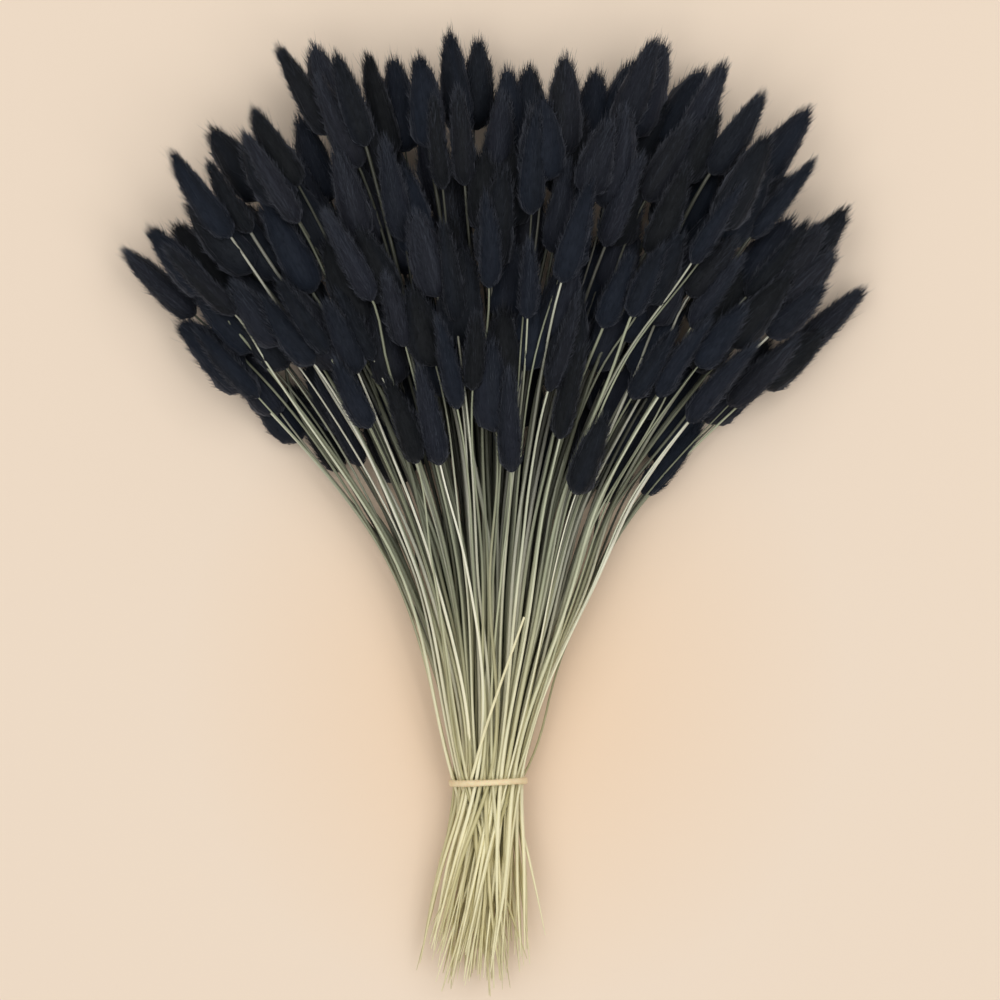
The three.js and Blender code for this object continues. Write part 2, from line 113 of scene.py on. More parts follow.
@dataclass
class Planting:
    """Rows of heads in a sagged fan, settled against each other. It repeats the rule of the solids."""

    tie_half_width: float = 17.3
    tie_height: float = 27
    fan_open: float = 0.13
    fan_curve: float = 0.0021
    rise_open: float = 0.13
    rise_curve: float = 0.0002
    lean: float = 0.025
    sag: float = 0.5
    settle_length: float = 150
    chord_floor: float = 0.03
    edge: float = 1.05
    arch_centre: Span = (7, 200)
    arch_half_width: float = 192
    arch_height: float = 184
    arch_power: float = 2.5
    plant_seed: int = 13
    row_count: int = 9
    first_row_y: float = 152
    row_step: float = 24
    row_jitter: float = 11
    side_jitter: float = 3
    head_spacing: float = 11.5
    golden: float = 0.6180339887
    row_phase: float = 0.39
    lowest_layer: float = 0.02
    front_rows: int = 2
    under_share: float = 0.7
    under_layers: float = 0.4
    layer_fall: float = 0.085
    layer_spread: float = 0.5
    yaw: float = 7
    pitch: float = 4
    head_length: Span = (37, 53)
    head_radius: Span = (6.6, 9.2)
    profile_places: tuple[float, ...] = (0, 0.08, 0.25, 0.5, 0.75, 0.92, 1)
    profile_radii: tuple[float, ...] = (0.35, 0.75, 1, 0.95, 0.72, 0.4, 0.05)
    pressed: float = 0.86
    stem_radius_tie: float = 1.15
    stem_radius_head: float = 0.85
    stations: tuple[float, ...] = (0, 110, 210)
    last_bend: float = 16
    slope_reach: float = 6
    tail_seed: int = 29
    tail_length: Span = (82, 107)
    tail_spread: Span = (0.97, 1.03)
    tail_twist: float = 40
    tail_half_width: float = 25
    tail_half_height: float = 17.5
    tail_middle: float = 18.6
    band_thick: float = 1.2
    band_clear: float = 1
    settle_steps: int = 80
    nestle_steps: int = 180
    rest_gap: float = 1.4
    stem_room: float = 3.2
    push: float = 0.3
    side_push: float = 0.5
    step_limit: float = 1.2
    hold: float = 0.012
    clump_count: int = 36
    clump_most: int = 12
    nestle: float = 0.745
    uneven: float = 0.12
    looks: tuple[float, ...] = (0.1, 0.38, 0.72)
    stout: Span = (0.08, 0.8)
    tie_steps: int = 200
    tie_spacing: float = 1.86

    def __post_init__(self) -> None:
        """Plant the heads, raise their stems and settle them."""
        self.centre_low = self.band_thick + self.band_clear + self.stem_radius_tie
        self.tie_middle = self.centre_low + self.tie_height / 2
        self.plant()
        self.raise_stems()
        self.pack_tie()
        self.clump = np.arange(self.count)
        self.links = np.zeros((self.count, self.count), bool)
        for _ in range(self.settle_steps):
            self.settle_step()
        self.link_clumps()
        for _ in range(self.nestle_steps):
            self.settle_step()
        self.cut_tails()

    def fan_half_width(self, y: Array | float) -> Array | float:
        """Return half the width of the fan at y."""
        return self.tie_half_width + self.fan_open * y + self.fan_curve * y * y

    def pile_height(self, y: Array | float) -> Array | float:
        """Return the height of the pile at y."""
        return self.tie_height + self.rise_open * y + self.rise_curve * y * y

    def widest(self, y: Array | float) -> Array | float:
        """Return how high the fan's widest place is at y: 1 at mid height, and lower as the fan sags."""
        k = np.clip(y / self.settle_length, 0, 1)
        return 1 - self.sag * k * k * (3 - 2 * k)

    def chord(self, share: float, y: float) -> float:
        """Work out half the chord of the fan's section.

        Args:
            share: The share of the pile's height at which it is taken.
            y: How far from the band.

        Returns:
            Half the chord.
        """
        widest = self.widest(y)
        s = (1 + widest) * share - widest
        return self.fan_half_width(y) * math.sqrt(max(1 - s * s, self.chord_floor))

    def roof(self, x: Array, y: Array) -> Array:
        """Work out the height of the pile's top.

        Args:
            x: Places across the fan.
            y: How far from the band each is.

        Returns:
            The heights.
        """
        y = np.maximum(y, 0)
        widest = self.widest(y)
        out = np.clip(np.abs(x - self.lean * y) / self.fan_half_width(y), 0, 1)
        share = (widest + np.sqrt(1 - out * out)) / (1 + widest)
        return self.centre_low + self.pile_height(y) * share

    def streamline(self, across: float, share: float, y: float) -> Span:
        """Return x and z of a stem that keeps its share across and its share of the height."""
        x = self.lean * y + across * self.chord(share, y)
        return x, self.centre_low + self.pile_height(y) * share

    def arch(self, x: float) -> float:
        """Work out how far from the band the tips reach.

        Args:
            x: The place across the fan.

        Returns:
            The y of the outline.
        """
        a = min(abs(x - self.arch_centre[0]) / self.arch_half_width, 1)
        rise = (1 - a**self.arch_power) ** (1 / self.arch_power)
        return self.arch_centre[1] + self.arch_height * rise

    def row_half_width(self, y: float) -> float:
        """Work out how far out a head can stand with its tip inside the outline.

        Args:
            y: Where the head's base is.

        Returns:
            Half the width of a row there.
        """
        length = sum(self.head_length) / 2
        outermost = self.edge * self.fan_half_width(y)
        out = 0
        while out < outermost:
            slope = (out / outermost) * (self.fan_open + 2 * self.fan_curve * y)
            along = length / math.hypot(1, slope)
            if y + along > self.arch(self.arch_centre[0] + out + along * slope):
                break
            out += 1
        return out

    def plant(self) -> None:
        """Set the rows of heads out."""
        draw = Draw(self.plant_seed)
        rows = []
        for row in range(self.row_count):
            row_y = self.first_row_y + self.row_step * row
            half = self.row_half_width(row_y)
            count = math.floor((2 * half) / self.head_spacing + 0.5)
            for i in range(count):
                x = ((2 * (i + 0.5)) / count - 1) * half + draw(-self.side_jitter, self.side_jitter)
                turn = (i * self.golden + row * self.row_phase) % 1
                rows.append(self.plant_head(x, row_y, self.layer(row, turn), draw))
        table = np.array(rows)
        self.count = len(table)
        self.across, self.share, self.y, self.length, self.radius, self.turned, self.pitched = table.T

    def layer(self, row: int, turn: float) -> float:
        """Choose a head's layer. Rows nearer to the band lie on the farther ones.

        Args:
            row: The row's number from the band.
            turn: The head's turn in its row, from 0 to 1.

        Returns:
            Its share of the pile's height.
        """
        if row < self.front_rows:
            return self.lowest_layer + self.under_layers * turn if turn < self.under_share else 1
        high = 1 - self.layer_fall * (row - self.front_rows)
        return max(high - self.layer_spread * (1 - turn), self.lowest_layer)

    def plant_head(self, x: float, row_y: float, layer: float, draw: Draw) -> tuple[float, ...]:
        """Set out one head.

        Args:
            x: Where it stands across the fan.
            row_y: How far its row is from the band.
            layer: Its share of the pile's height, from 0 to 1.
            draw: The layout's random numbers.

        Returns:
            Its share across, share of the height, y, length, radius, yaw and pitch.
        """
        y = row_y + draw(-self.row_jitter, self.row_jitter)
        length = draw(*self.head_length)
        radius = draw(*self.head_radius)
        out = min(abs(x) / self.fan_half_width(y), 1)
        widest = 1 - self.sag
        roof = (widest + math.sqrt(1 - out * out)) / (1 + widest)
        share = layer * roof
        across = min(max(x / self.chord(share, y), -self.edge), self.edge)
        yaw = draw(-self.yaw, self.yaw)
        return across, share, y, length, radius, yaw, draw(-self.pitch, self.pitch)

    def profile(self, share: Array) -> Array:
        """Return a head's radius at a share of its length, as a share of its full radius."""
        return np.interp(share, self.profile_places, self.profile_radii, right=0)

    def own_radii(self) -> Array:
        """Return each head's radius at its look points."""
        return self.radius[:, None] * self.profile(np.array(self.looks))[None]

    def raise_stems(self) -> None:
        """Give each head its stem: bends at the common stations, then the seat of the head."""
        most = len(self.stations) + 1
        self.ys = np.zeros((self.count, most))
        self.points = np.zeros((self.count, most, 2))
        self.last = np.zeros(self.count, int)
        self.direction = np.zeros((self.count, 3))
        for i in range(self.count):
            across, share, y = self.across[i], self.share[i], self.y[i]
            ys = [s for s in self.stations if s < y - self.last_bend] + [y]
            self.last[i] = len(ys) - 1
            ys += [y] * (most - len(ys))
            self.ys[i] = ys
            self.points[i] = [self.streamline(across, share, s) for s in ys]
            x0, z0 = self.streamline(across, share, y - self.slope_reach)
            x1, z1 = self.streamline(across, share, y + self.slope_reach)
            slope_x = (x1 - x0) / (2 * self.slope_reach) + math.tan(math.radians(self.turned[i]))
            slope_z = (z1 - z0) / (2 * self.slope_reach) + math.tan(math.radians(self.pitched[i]))
            self.direction[i] = unit(np.array([slope_x, 1, slope_z]))
        self.home = self.points.copy()
        self.every = np.arange(self.count)

    def pack_tie(self) -> None:
        """Space the stems evenly inside the band."""
        rooms = np.array([self.tie_half_width, self.tie_height / 2])
        spacing = self.tie_spacing * math.sqrt(rooms.prod() / self.count)
        seats = self.points[:, 0] - [0, self.tie_middle]
        for _ in range(self.tie_steps):
            apart = seats[:, None] - seats[None]
            distance = np.linalg.norm(apart, axis=2) + TINY
            push = np.where(distance < spacing, self.push * (spacing - distance) / distance, 0)
            np.fill_diagonal(push, 0)
            seats = seats + (push[:, :, None] * apart).sum(1)
            out = np.linalg.norm(seats / rooms, axis=1)[:, None]
            seats = seats / np.maximum(out, 1)
        self.points[:, 0] = seats + [0, self.tie_middle]

    def seat(self) -> Array:
        """Return the seats of the heads as points."""
        ends = self.points[self.every, self.last]
        return np.stack([ends[:, 0], self.y, ends[:, 1]], 1)

    def places_along(self, shares: tuple[float, ...]) -> Array:
        """Return the points at shares of each head's length, by head and share."""
        reach = np.array(shares)[None, :, None] * self.length[:, None, None]
        return self.seat()[:, None] + reach * self.direction[:, None]

    def meet(self, places: Array) -> dict[str, Array]:
        """Find what of every other head or stem is met at the y of each place.

        Args:
            places: The look points, by head and look.

        Returns:
            By head, other and look: the axis that is met, its radius, the stretch k of its stem, the share w
            along the stretch, and whether it is a head, is there at all, and is a stout part of a head.
        """
        y = places[:, None, :, 1]
        on_stem = y < self.y[None, :, None]
        inner = np.where(np.arange(self.ys.shape[1])[None] < self.last[:, None], self.ys, np.inf)
        k = (y[..., None] > inner[None, :, None, 1:]).sum(-1)
        k = np.minimum(k, (self.last - 1)[None, :, None])
        other = np.broadcast_to(self.every[None, :, None], k.shape)
        y0, y1 = self.ys[other, k], self.ys[other, k + 1]
        w = (y - y0) / np.maximum(y1 - y0, TINY)
        stem = self.points[other, k] * (1 - w[..., None]) + self.points[other, k + 1] * w[..., None]
        share = (y - self.y[None, :, None]) / (self.length * self.direction[:, 1])[None, :, None]
        reach = (share * self.length[None, :, None])[..., None] * self.direction[None, :, None]
        head = (self.seat()[None, :, None] + reach)[..., [0, 2]]
        radius = self.radius[None, :, None] * self.profile(share)
        return {
            "axis": np.where(on_stem[..., None], stem, head),
            "radius": np.where(on_stem, self.stem_radius_head, radius),
            "k": np.where(on_stem, k, (self.last - 1)[None, :, None]),
            "w": np.where(on_stem, w, 1),
            "is_head": ~on_stem,
            "there": on_stem | (share < 1),
            "stout": ~on_stem & (share > self.stout[0]) & (share < self.stout[1]),
        }

    def gaps(self, places: Array, met: dict[str, Array]) -> tuple[Array, Array]:
        """Measure from each head to what it meets, across its own length.

        Args:
            places: The look points, by head and look.
            met: What they meet.

        Returns:
            The vectors in x and z, and their lengths.
        """
        apart = places[:, None, :, [0, 2]] - met["axis"]
        lay = np.hypot(self.direction[:, 1], self.direction[:, 2])
        apart = apart * np.stack([lay, np.ones(self.count)], 1)[:, None, None]
        return apart, np.linalg.norm(apart, axis=-1) + TINY

    def settle_step(self) -> None:
        """Let heads push stems and other heads aside, and lean on those they are linked to."""
        places = self.places_along(self.looks)
        met = self.meet(places)
        apart, distance = self.gaps(places, met)
        radii = self.own_radii()[:, None] + met["radius"]
        kin = (self.clump[:, None] == self.clump[None])[..., None] & met["is_head"]
        over = np.where(kin, self.nestle * radii, radii + self.rest_gap) - distance
        valid = met["there"] & (self.every[:, None] != self.every[None])[..., None]
        near = np.where(valid & met["stout"], over, -np.inf)
        nearest = near.argmax(2)
        best = np.take_along_axis(near, nearest[..., None], 2)[..., 0]
        leans = self.links & np.isfinite(best) & (best < 0)
        pulls = leans[..., None] & (np.arange(len(self.looks)) == nearest[..., None])
        shift = np.where((valid & (over > 0)) | pulls, over, 0)[..., None] * apart / distance[..., None]
        shift[..., 0] *= self.side_push
        moves = np.zeros_like(self.points)
        np.add.at(moves, (self.every, self.last), shift.sum((1, 2)))
        other = np.broadcast_to(self.every[None, :, None], shift.shape[:3])
        np.add.at(moves, (other, met["k"]), -shift * (1 - met["w"])[..., None])
        np.add.at(moves, (other, met["k"] + 1), -shift * met["w"][..., None])
        self.spread_stems(moves)
        self.apply(moves)

    def spread_stems(self, moves: Array) -> None:
        """Keep a little room between stems that bend at the same station.

        Args:
            moves: The moves of the bends so far, which are added to.
        """
        for k in range(1, len(self.stations)):
            bends = np.flatnonzero(self.last > k)
            at = self.points[bends, k]
            apart = at[:, None] - at[None]
            distance = np.linalg.norm(apart, axis=2) + TINY
            over = np.maximum(self.stem_room - distance, 0) / distance
            np.fill_diagonal(over, 0)
            moves[bends, k] += (over[:, :, None] * apart).sum(1)

    def apply(self, moves: Array) -> None:
        """Move the bends and seats, and lift heads that would sink into the table.

        Args:
            moves: The moves of the bends and seats.
        """
        free = (np.arange(self.ys.shape[1])[None] <= self.last[:, None])[..., None].repeat(2, 2)
        free[:, 0] = False
        step = np.clip(self.push * moves, -self.step_limit, self.step_limit)
        step += self.hold * (self.home - self.points)
        self.points = np.where(free, self.points + step, self.points)
        low = free[..., 1] & (self.points[..., 1] < self.stem_radius_tie)
        self.points[..., 1] = np.where(low, self.stem_radius_tie, self.points[..., 1])
        heights = self.places_along(self.looks)[..., 2]
        sunk = np.maximum((self.pressed * self.own_radii() - heights).max(1), 0)
        self.points[self.every, self.last, 1] += sunk

    def link_clumps(self) -> None:
        """Gather the closest heads into clumps and link the pairs that lean on each other."""
        places = self.places_along(self.looks)
        met = self.meet(places)
        distance = self.gaps(places, met)[1]
        own = self.own_radii()[:, None]
        gap = np.where(met["stout"], distance - own - met["radius"], np.inf).min(2)
        gap = gap + self.uneven * np.abs(self.y[:, None] - self.y[None])
        np.fill_diagonal(gap, np.inf)
        left = self.count
        for flat in np.argsort(gap, axis=None, kind="stable"):
            i, j = divmod(int(flat), self.count)
            kept, gone = self.clump[i], self.clump[j]
            size = np.isin(self.clump, (kept, gone)).sum()
            if left > self.clump_count and kept != gone and size <= self.clump_most:
                self.clump[self.clump == gone] = kept
                self.links[i, j] = self.links[j, i] = True
                left -= 1

    def cut_tails(self) -> None:
        """Find where each stem is cut below the band."""
        draw = Draw(self.tail_seed)
        turn = math.radians(self.tail_twist)
        self.tails = np.zeros((self.count, 3))
        for i, (x, z) in enumerate(self.points[:, 0]):
            u, v = x / self.tie_half_width, (z - self.tie_middle) / (self.tie_height / 2)
            length, spread = draw(*self.tail_length), draw(*self.tail_spread)
            out = self.tail_half_width * spread * (u * math.cos(turn) - v * math.sin(turn))
            rise = self.tail_half_height * (u * math.sin(turn) + v * math.cos(turn))
            self.tails[i] = (out, -length, max(self.tail_middle + rise, self.stem_radius_tie))


# Shader maths


class Wire:
    """A socket of a material's nodes, on which Python's arithmetic adds Math nodes."""

    def __init__(self, finish: "Finish", socket: bpy.types.NodeSocket) -> None:
        """Wrap a socket of a finish."""
        self.finish = finish
        self.socket = socket

    def maths(self, operation: str, first: "Wire | float", second: "Wire | float") -> "Wire":
        """Return a Math node's result for two values."""
        return self.finish.wire(0, "ShaderNodeMath", {"operation": operation}, {0: first, 1: second})

    def __add__(self, other: "Wire | float") -> "Wire":
        """Return the sum."""
        return self.maths("ADD", self, other)

    __radd__ = __add__

    def __sub__(self, other: "Wire | float") -> "Wire":
        """Return the difference."""
        return self.maths("SUBTRACT", self, other)

    def __rsub__(self, other: "Wire | float") -> "Wire":
        """Return the reflected difference."""
        return self.maths("SUBTRACT", other, self)

    def __mul__(self, other: "Wire | float") -> "Wire":
        """Return the product."""
        return self.maths("MULTIPLY", self, other)

    __rmul__ = __mul__


@dataclass(frozen=True)
class Mottle:
    """Noise drawn over a vector attribute, stretched from low..high to 0..1."""

    scale: float
    detail: float
    low: float
    high: float


@dataclass
class Finish:
    """A material with a Principled shader, and the one method that adds nodes to it."""

    name: str

    def __post_init__(self) -> None:
        """Make the material."""
        self.material = bpy.data.materials.new(self.name)
        self.material.use_nodes = True
        self.tree = self.material.node_tree
        self.shader = self.tree.nodes["Principled BSDF"]

    def wire(
        self,
        output: str | int,
        kind: str,
        settings: Mapping[str, object],
        inputs: Mapping[str | int, object],
    ) -> Wire:
        """Add a node.

        Args:
            output: The output to read, by name or number.
            kind: The node's type.
            settings: Its settings, such as a Math node's operation, which are set first.
            inputs: The value or wire of each socket, by name or number.

        Returns:
            The output.
        """
        made = self.tree.nodes.new(kind)
        for key, value in settings.items():
            setattr(made, key, value)
        for key, value in inputs.items():
            self.feed(made.inputs[key], value)
        return Wire(self, made.outputs[output])

    def feed(self, socket: bpy.types.NodeSocket, value: object) -> None:
        """Link a wire to a socket, or set the socket's own value.

        Args:
            socket: The socket.
            value: A wire or a value.
        """
        if isinstance(value, Wire):
            self.tree.links.new(value.socket, socket)
        else:
            socket.default_value = value

    def set(self, sockets: Mapping[str, object]) -> None:
        """Set or link sockets of the shader by name."""
        for key, value in sockets.items():
            self.feed(self.shader.inputs[key], value)

    def attribute(self, name: str) -> Wire:
        """Return the value of a mesh attribute."""
        return self.wire("Fac", "ShaderNodeAttribute", {"attribute_name": name}, {})

    def vector(self, name: str) -> Wire:
        """Return the vector of a mesh attribute."""
        return self.wire("Vector", "ShaderNodeAttribute", {"attribute_name": name}, {})

    def mottle(self, where: Wire, look: Mottle) -> Wire:
        """Return noise at a place, from 0 to 1."""
        inputs = {"Vector": where, "Scale": look.scale, "Detail": look.detail}
        return self.spread(self.wire("Fac", "ShaderNodeTexNoise", {}, inputs), (look.low, look.high))

    def spread(self, value: Wire, span: Span) -> Wire:
        """Return the value stretched from the span to 0..1 and held there."""
        inputs = {"Value": value, "From Min": span[0], "From Max": span[1]}
        return self.wire(0, "ShaderNodeMapRange", {"clamp": True}, inputs)

    def mix(self, share: "Wire | float", first: "Wire | Colour", second: "Wire | Colour") -> Wire:
        """Return two colours mixed by a share. Sockets 0, 6, 7 and output 2 are the ones for colours."""
        return self.wire(2, "ShaderNodeMix", {"data_type": "RGBA"}, {0: share, 6: first, 7: second})

    def bump(self, height: Wire, strength: float, depth: float) -> None:
        """Let a height shape the normals."""
        inputs = {"Strength": strength, "Distance": depth * MM, "Height": height}
        self.set({"Normal": self.wire(0, "ShaderNodeBump", {}, inputs)})


@dataclass(frozen=True)
class DownFinish:
    """Dyed down of the heads: near black or navy, with a velvet sheen and grey hair ends that are partly
    painted sheen.
    """

    black: Colour = linear(14, 17, 21)
    navy: Colour = linear(19, 26, 38)
    navy_span: Span = (0.35, 0.95)
    violet: Colour = linear(28, 29, 38)
    violet_span: Span = (0.6, 1.2)
    violet_most: float = 0.8
    dust_and_sheen: Colour = linear(72, 77, 88)
    dust_and_sheen_span: Span = (0.72, 1.55)
    dust_and_sheen_by_loft: float = 0.9
    dust_by_streak: float = 0.4
    dust_by_tone: float = 0.45
    streak: Mottle = Mottle(1.0, 3, 0.32, 0.68)
    blotch: Mottle = Mottle(0.16, 2, 0.35, 0.65)
    blotch_weight: float = 0.3
    sheen: float = 0.4
    sheen_roughness: float = 0.4
    sheen_tint: Colour = linear(146, 150, 164)
    roughness: float = 0.75
    specular: float = 0.2
    bump_strength: float = 0.6
    bump_depth: float = 0.6

    def make(self) -> bpy.types.Material:
        """Build the material.

        Returns:
            The material, which reads the attributes tone, tint, loft and combed.
        """
        f = Finish("dyed_down")
        tone, tint, loft = f.attribute("tone"), f.attribute("tint"), f.attribute("loft")
        combed = f.vector("combed")
        streak = f.mottle(combed, self.streak)
        blotch = f.mottle(combed, self.blotch) * self.blotch_weight
        body = f.mix(f.spread(tint + blotch, self.navy_span), self.black, self.navy)
        body = f.mix(f.spread(tone + blotch, self.violet_span) * self.violet_most, body, self.violet)
        # greyer hair ends and painted sheen: grey-blue is mixed in by loft, which rises towards the hair ends
        # and the head's tip
        dust_and_sheen_share = loft * self.dust_and_sheen_by_loft + streak * self.dust_by_streak + tone * self.dust_by_tone
        f.set({
            "Base Color": f.mix(f.spread(dust_and_sheen_share, self.dust_and_sheen_span), body, self.dust_and_sheen),
            "Roughness": self.roughness,
            "Specular IOR Level": self.specular,
            "Sheen Weight": self.sheen,
            "Sheen Roughness": self.sheen_roughness,
            "Sheen Tint": self.sheen_tint,
        })
        f.bump(streak, self.bump_strength, self.bump_depth)
        return f.material


@dataclass(frozen=True)
class StrawFinish:
    """Dry grass stems, sage green near the heads and straw towards the cut ends, with painted shade under the
    pile's top.
    """

    olive: Colour = linear(124, 128, 104)
    sage: Colour = linear(184, 189, 160)
    sage_span: Span = (0.1, 0.6)
    pale: Colour = linear(246, 245, 226)
    pale_span: Span = (0.65, 1.15)
    tan: Colour = linear(206, 196, 144)
    straw: Colour = linear(246, 238, 196)
    straw_span: Span = (0.15, 0.8)
    ripe_span: Span = (0.3, 1.1)
    brown: Colour = linear(140, 120, 86)
    brown_span: Span = (0.55, 0.95)
    brown_most: float = 0.5
    # painted shade: the near black mixed into stems that lie under the pile's top
    painted_shade: Colour = linear(34, 34, 27)
    thread: Mottle = Mottle(2.2, 3, 0.3, 0.7)
    patch: Mottle = Mottle(0.22, 2, 0.35, 0.65)
    light_by_patch: float = 0.25
    age_by_patch: float = 0.2
    roughness_span: Span = (-0.8, 2.0)
    specular: float = 0.6
    bump_strength: float = 0.5
    bump_depth: float = 0.25

    def make(self) -> bpy.types.Material:
        """Build the material.

        Returns:
            The material, which reads the attributes tone, age, depth and fibre.
        """
        f = Finish("dry_straw")
        tone, age, depth = f.attribute("tone"), f.attribute("age"), f.attribute("depth")
        fibre = f.vector("fibre")
        thread, patch = f.mottle(fibre, self.thread), f.mottle(fibre, self.patch)
        light = tone + patch * self.light_by_patch
        green = f.mix(f.spread(light, self.sage_span), self.olive, self.sage)
        green = f.mix(f.spread(light, self.pale_span), green, self.pale)
        ripe = f.mix(f.spread(light, self.straw_span), self.tan, self.straw)
        worn = f.mix(f.spread(age + patch * self.age_by_patch, self.ripe_span), green, ripe)
        worn = f.mix(f.spread(thread * patch, self.brown_span) * self.brown_most, worn, self.brown)
        f.set({
            # painted shade: the depth attribute darkens the stems under the pile's top
            "Base Color": f.mix(depth, worn, self.painted_shade),
            "Roughness": f.spread(thread, self.roughness_span),
            "Specular IOR Level": self.specular,
        })
        f.bump(thread, self.bump_strength, self.bump_depth)
        return f.material


@dataclass(frozen=True)
class RubberFinish:
    """Cream rubber of the band. Its subsurface scale is in metres."""

    cream: Colour = linear(243, 224, 184)
    shade: Colour = linear(232, 206, 160)
    shade_most: float = 0.6
    mottle: Mottle = Mottle(0.35, 4, 0.35, 0.68)
    grain: Mottle = Mottle(4.0, 2, 0.0, 1.0)
    roughness_span: Span = (-0.9, 1.6)
    subsurface: float = 0.08
    subsurface_scale: float = 0.002
    bump_strength: float = 0.25
    bump_depth: float = 0.15

    def make(self) -> bpy.types.Material:
        """Build the material.

        Returns:
            The material, which reads the attribute round.
        """
        f = Finish("cream_rubber")
        place = f.vector("round")
        mottle, grain = f.mottle(place, self.mottle), f.mottle(place, self.grain)
        f.set({
            "Base Color": f.mix(mottle * self.shade_most, self.cream, self.shade),
            "Roughness": f.spread(grain, self.roughness_span),
            "Subsurface Weight": self.subsurface,
            "Subsurface Scale": self.subsurface_scale,
        })
        f.bump(grain, self.bump_strength, self.bump_depth)
        return f.material


@dataclass(frozen=True)
class TableFinish:
    """Plain pale surface with a painted warm shadow round the stems. Its centre and reach are in metres."""

    peach: Colour = linear(236, 218, 199)
    painted_warm_shadow: Colour = linear(237, 210, 182)
    centre: tuple[float, float, float] = (0.012, 0.05, 0.0)
    reach: Span = (0.03, 0.17)
    roughness: float = 0.9
    specular: float = 0.1

    def make(self) -> bpy.types.Material:
        """Build the material.

        Returns:
            The material, which reads the table's own coordinates.
        """
        f = Finish("plain_table")
        place = f.wire("Object", "ShaderNodeTexCoord", {}, {})
        away = f.wire("Value", "ShaderNodeVectorMath", {"operation": "DISTANCE"}, {0: place, 1: self.centre})
        # painted warm shadow: the table is warmer and a little darker near the bunch
        near = 1 - f.spread(away, self.reach)
        f.set({
            "Base Color": f.mix(near, self.peach, self.painted_warm_shadow),
            "Roughness": self.roughness,
            "Specular IOR Level": self.specular,
        })
        return f.material


# Meshes


class Kind(Enum):
    """The kind of the faces in a block, with the number of their corners."""

    TRIANGLE = 3
    QUAD = 4


@dataclass
class BakeSheet:
    """Hands out places on the baked map: a block of tall tiles for skins, and cells for hairs."""

    skins: int
    hairs: int
    skin_part: float = 0.3
    skin_columns: int = 0
    skin_shape: float = 2
    skin_rim: float = 0.03
    hair_shape: float = 2.2
    hair_rim: float = 0.1

    def __post_init__(self) -> None:
        """Work out the grids of tiles and cells, where the number of skin columns may be given."""
        self.used_skins = 0
        self.used_hairs = 0
        self.skin_columns = self.skin_columns or math.ceil(math.sqrt(self.skins * self.skin_shape))
        self.skin_rows = math.ceil(self.skins / self.skin_columns)
        self.hair_columns = math.ceil(math.sqrt(self.hairs * self.hair_shape))
        self.hair_rows = math.ceil(self.hairs / self.hair_columns)

    def skin(self, u: Array, v: Array) -> Array:
        """Place the corners of the next skin.

        Args:
            u: Round the skin, from 0 to 1.
            v: Along it, from 0 to 1.

        Returns:
            The places on the map.
        """
        row, column = divmod(self.used_skins, self.skin_columns)
        self.used_skins += 1
        inner = 1 - 2 * self.skin_rim
        across = (column + 0.5 + (u - 0.5) * inner) / self.skin_columns
        up = (row + 0.5 + (v - 0.5) * inner) / self.skin_rows * self.skin_part
        return np.stack([across, up], -1)

    def strands(self, count: int, u: Array, v: Array) -> Array:
        """Place the corners of the next hairs.

        Args:
            count: How many hairs.
            u: Across each hair, the same for all.
            v: Along each hair, the same for all.

        Returns:
            The places on the map, by hair and corner.
        """
        number = self.used_hairs + np.arange(count)
        self.used_hairs += count
        row, column = np.divmod(number, self.hair_columns)
        inner = 1 - 2 * self.hair_rim
        across = (column[:, None] + 0.5 + (u[None] - 0.5) * inner) / self.hair_columns
        up = (row[:, None] + 0.5 + (v[None] - 0.5) * inner) / self.hair_rows
        return np.stack([across, self.skin_part + up * (1 - self.skin_part)], -1)


